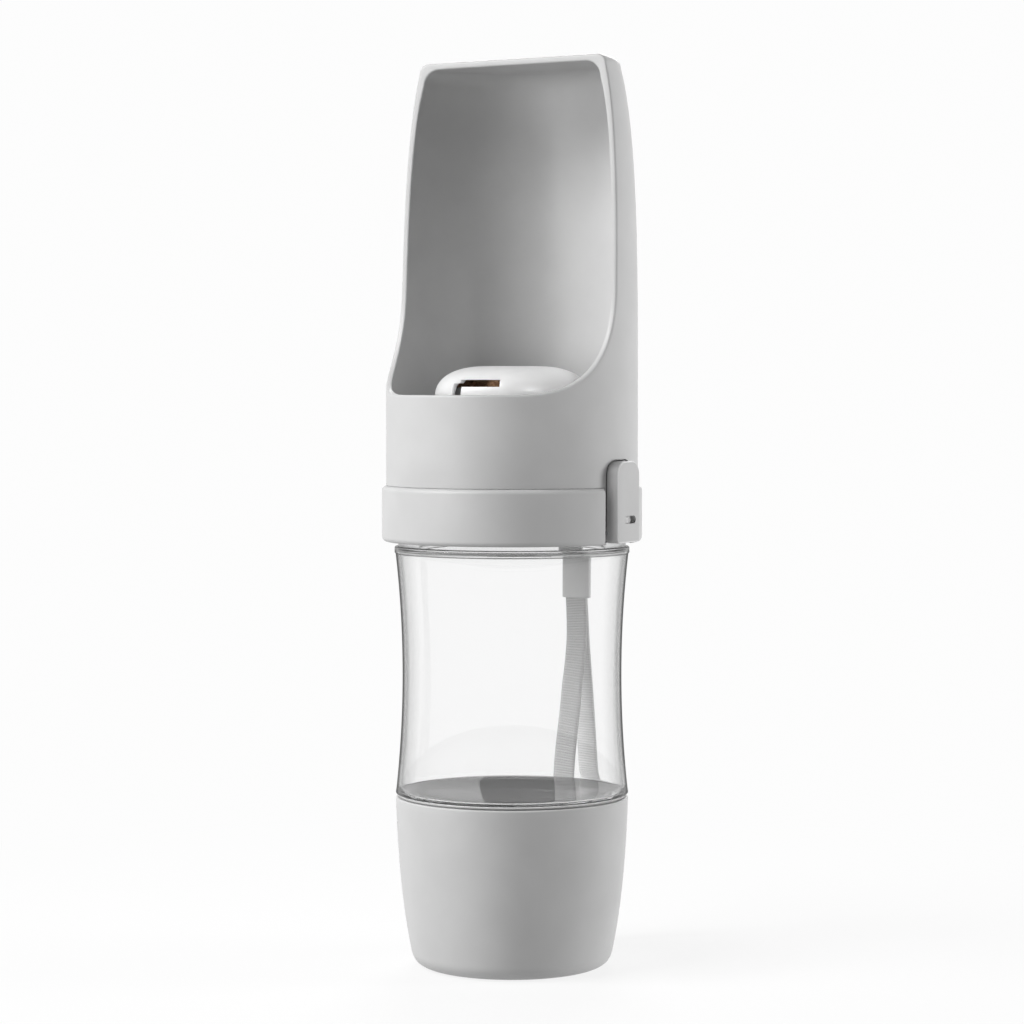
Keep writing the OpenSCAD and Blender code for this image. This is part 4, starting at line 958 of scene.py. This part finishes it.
x0, x1, y0, y1, z0, z1 = lock["plate"]
lockSlider = addBlock("lockSlider", (x0, y0, z0), (x1, y1, z1))
raisedFront, raisedEnd = lock["raised"]  # thicker behind the window, thin where it enters the notch
carve(lockSlider, addBlock("raised", (x0, y0, z0), (raisedFront, raisedEnd, z1)), "UNION")
knob = roundBar("knob", x0, lock["knobFront"], *lock["knob"])
soften(knob, lock["edge"], segments=3, angle=60)
carve(lockSlider, knob, "UNION")
dress(lockSlider, "lock", "mid_grey_plastic", replaced=["lock_slider"], finish="ferrule_grey")
print("lever pad and lock made")

# Floor and lamps, in metres and watts
studio = {"floor": 1.6, "paper": 0.98, "paperTone": 0.9, "floorGlow": 0.44, "floorShade": 0.16,
          "shadeReach": (0.05, 0.3), "aim": (0, 0, 0.14), "distance": 1.0, "lowestMirrored": 0.5,
          "spotSize": 0.05, "cardFoot": 0.12, "cardTop": 0.5}
# turn from the camera's side to the right, height, size, power
lamps = {"keyLamp": (-78, 0.85, (0.4, 0.5), 9.8), "upperLamp": (-50, 1.2, (0.4, 0.5), 6.2),
         "lowLamp": (-62, 0.24, (0.4, 0.44), 5), "sideLamp": (90, 0.24, (0.3, 0.44), 8.4),
         "backLamp": (175, 0.7, (0.5, 0.5), 7)}
# turn, height, aim, cone, power, what it lights if not all
spots = {"bowlSpot": (38, 0.75, (0.006, 0, 0.168), 5, 12, ()),
         "domeSpot": (30, 0.75, (0.004, 0, 0.168), 8, 22, (outletCover,))}
# start, end, distance, glow
cards = {"wideCard": (-0.4, 0.4, 1.1, 0.62), "narrowCard": (-0.020, 0.032, 1.0, 0.16)}

viewTurn = math.atan2(photoView["place"][1], photoView["place"][0])


def addLight(name, kind, turn, height, aim, power):
    angle = viewTurn + math.radians(turn)
    place = Vector((studio["distance"] * math.cos(angle), studio["distance"] * math.sin(angle), height))
    facing = (Vector(aim) - place).to_track_quat("-Z", "Y").to_euler()
    bpy.ops.object.select_all(action="DESELECT")
    bpy.ops.object.light_add(type=kind, location=place, rotation=facing)
    light = named(name)
    light.data.energy = power
    return light


for name, (turn, height, size, power) in lamps.items():
    lamp = addLight(name, "AREA", turn, height, studio["aim"], power)
    lamp.data.shape = "RECTANGLE"
    lamp.data.size, lamp.data.size_y = size
    lamp.visible_glossy = height > studio["lowestMirrored"]  # the low lamps leave no squares on the bottle
    lamp.visible_transmission = False

for name, (turn, height, aim, cone, power, receivers) in spots.items():
    spot = addLight(name, "SPOT", turn, height, aim, power)
    spot.data.spot_size, spot.data.spot_blend = math.radians(cone), 1
    spot.data.shadow_soft_size = studio["spotSize"]
    if receivers:
        spot.light_linking.receiver_collection = bpy.data.collections.new(name + "Receivers")
        for piece in receivers:
            spot.light_linking.receiver_collection.objects.link(piece)


def whiteRays(tree):  # 1 for camera, mirror and glass rays, 0 for the light that falls on things
    path = addNode(tree, "ShaderNodeLightPath")
    total = path.outputs["Is Camera Ray"]
    for extra in ("Is Glossy Ray", "Is Transmission Ray"):
        total = mathOf(tree, "MAXIMUM", total, path.outputs[extra])
    return total


world = bpy.context.scene.world or bpy.data.worlds.new("studio")
bpy.context.scene.world = world
world.use_nodes = True
tree = world.node_tree
fill(tree, tree.nodes["Background"], Color=(1, 1, 1, 1),
     Strength=spreadOf(tree, whiteRays(tree), 0.0, studio["paper"]))

bpy.ops.object.select_all(action="DESELECT")
bpy.ops.mesh.primitive_plane_add(size=2 * studio["floor"])
floor = named("studioFloor")
paper, tree, shader = newFinish("paper", Roughness=0.9, Base_Color=(*grey(studio["paperTone"]), 1))
glow = addNode(tree, "ShaderNodeEmission",
               Strength=spreadOf(tree, whiteRays(tree), studio["floorGlow"], studio["paper"]))
away = addNode(tree, "ShaderNodeVectorMath", addNode(tree, "ShaderNodeTexCoord").outputs["Object"])
away.operation = "LENGTH"
fade = spreadOf(tree, away.outputs["Value"], 1 - studio["floorShade"], 1.0, *studio["shadeReach"])
blend = addNode(tree, "ShaderNodeMixShader", fade, shader.outputs["BSDF"], glow.outputs["Emission"])
fill(tree, tree.nodes["Material Output"], Surface=blend.outputs["Shader"])
floor.data.materials.append(paper)

# Cards behind the bottle, which its floor mirrors
sideways = Vector((-math.sin(viewTurn), math.cos(viewTurn), 0))
towards = Vector((math.cos(viewTurn), math.sin(viewTurn), 0))
upright = (math.pi / 2, 0, math.atan2(sideways.y, sideways.x))
for name, (start, end, distance, strength) in cards.items():
    middle = sideways * (start + end) / 2 - towards * distance
    middle.z = (studio["cardFoot"] + studio["cardTop"]) / 2
    bpy.ops.object.select_all(action="DESELECT")
    bpy.ops.mesh.primitive_plane_add(size=1, location=middle, rotation=upright)
    card = named(name)
    card.scale = (end - start, studio["cardTop"] - studio["cardFoot"], 1)
    ink = newFinish(name + "Tone", Base_Color=(0, 0, 0, 1), Roughness=1.0, Specular_IOR_Level=0.0,
                    Emission_Color=(1, 1, 1, 1), Emission_Strength=strength)[0]
    card.data.materials.append(ink)
    card.visible_camera = card.visible_diffuse = card.visible_shadow = False

bpy.context.scene.view_settings.view_transform = "Standard"
print("stage set")
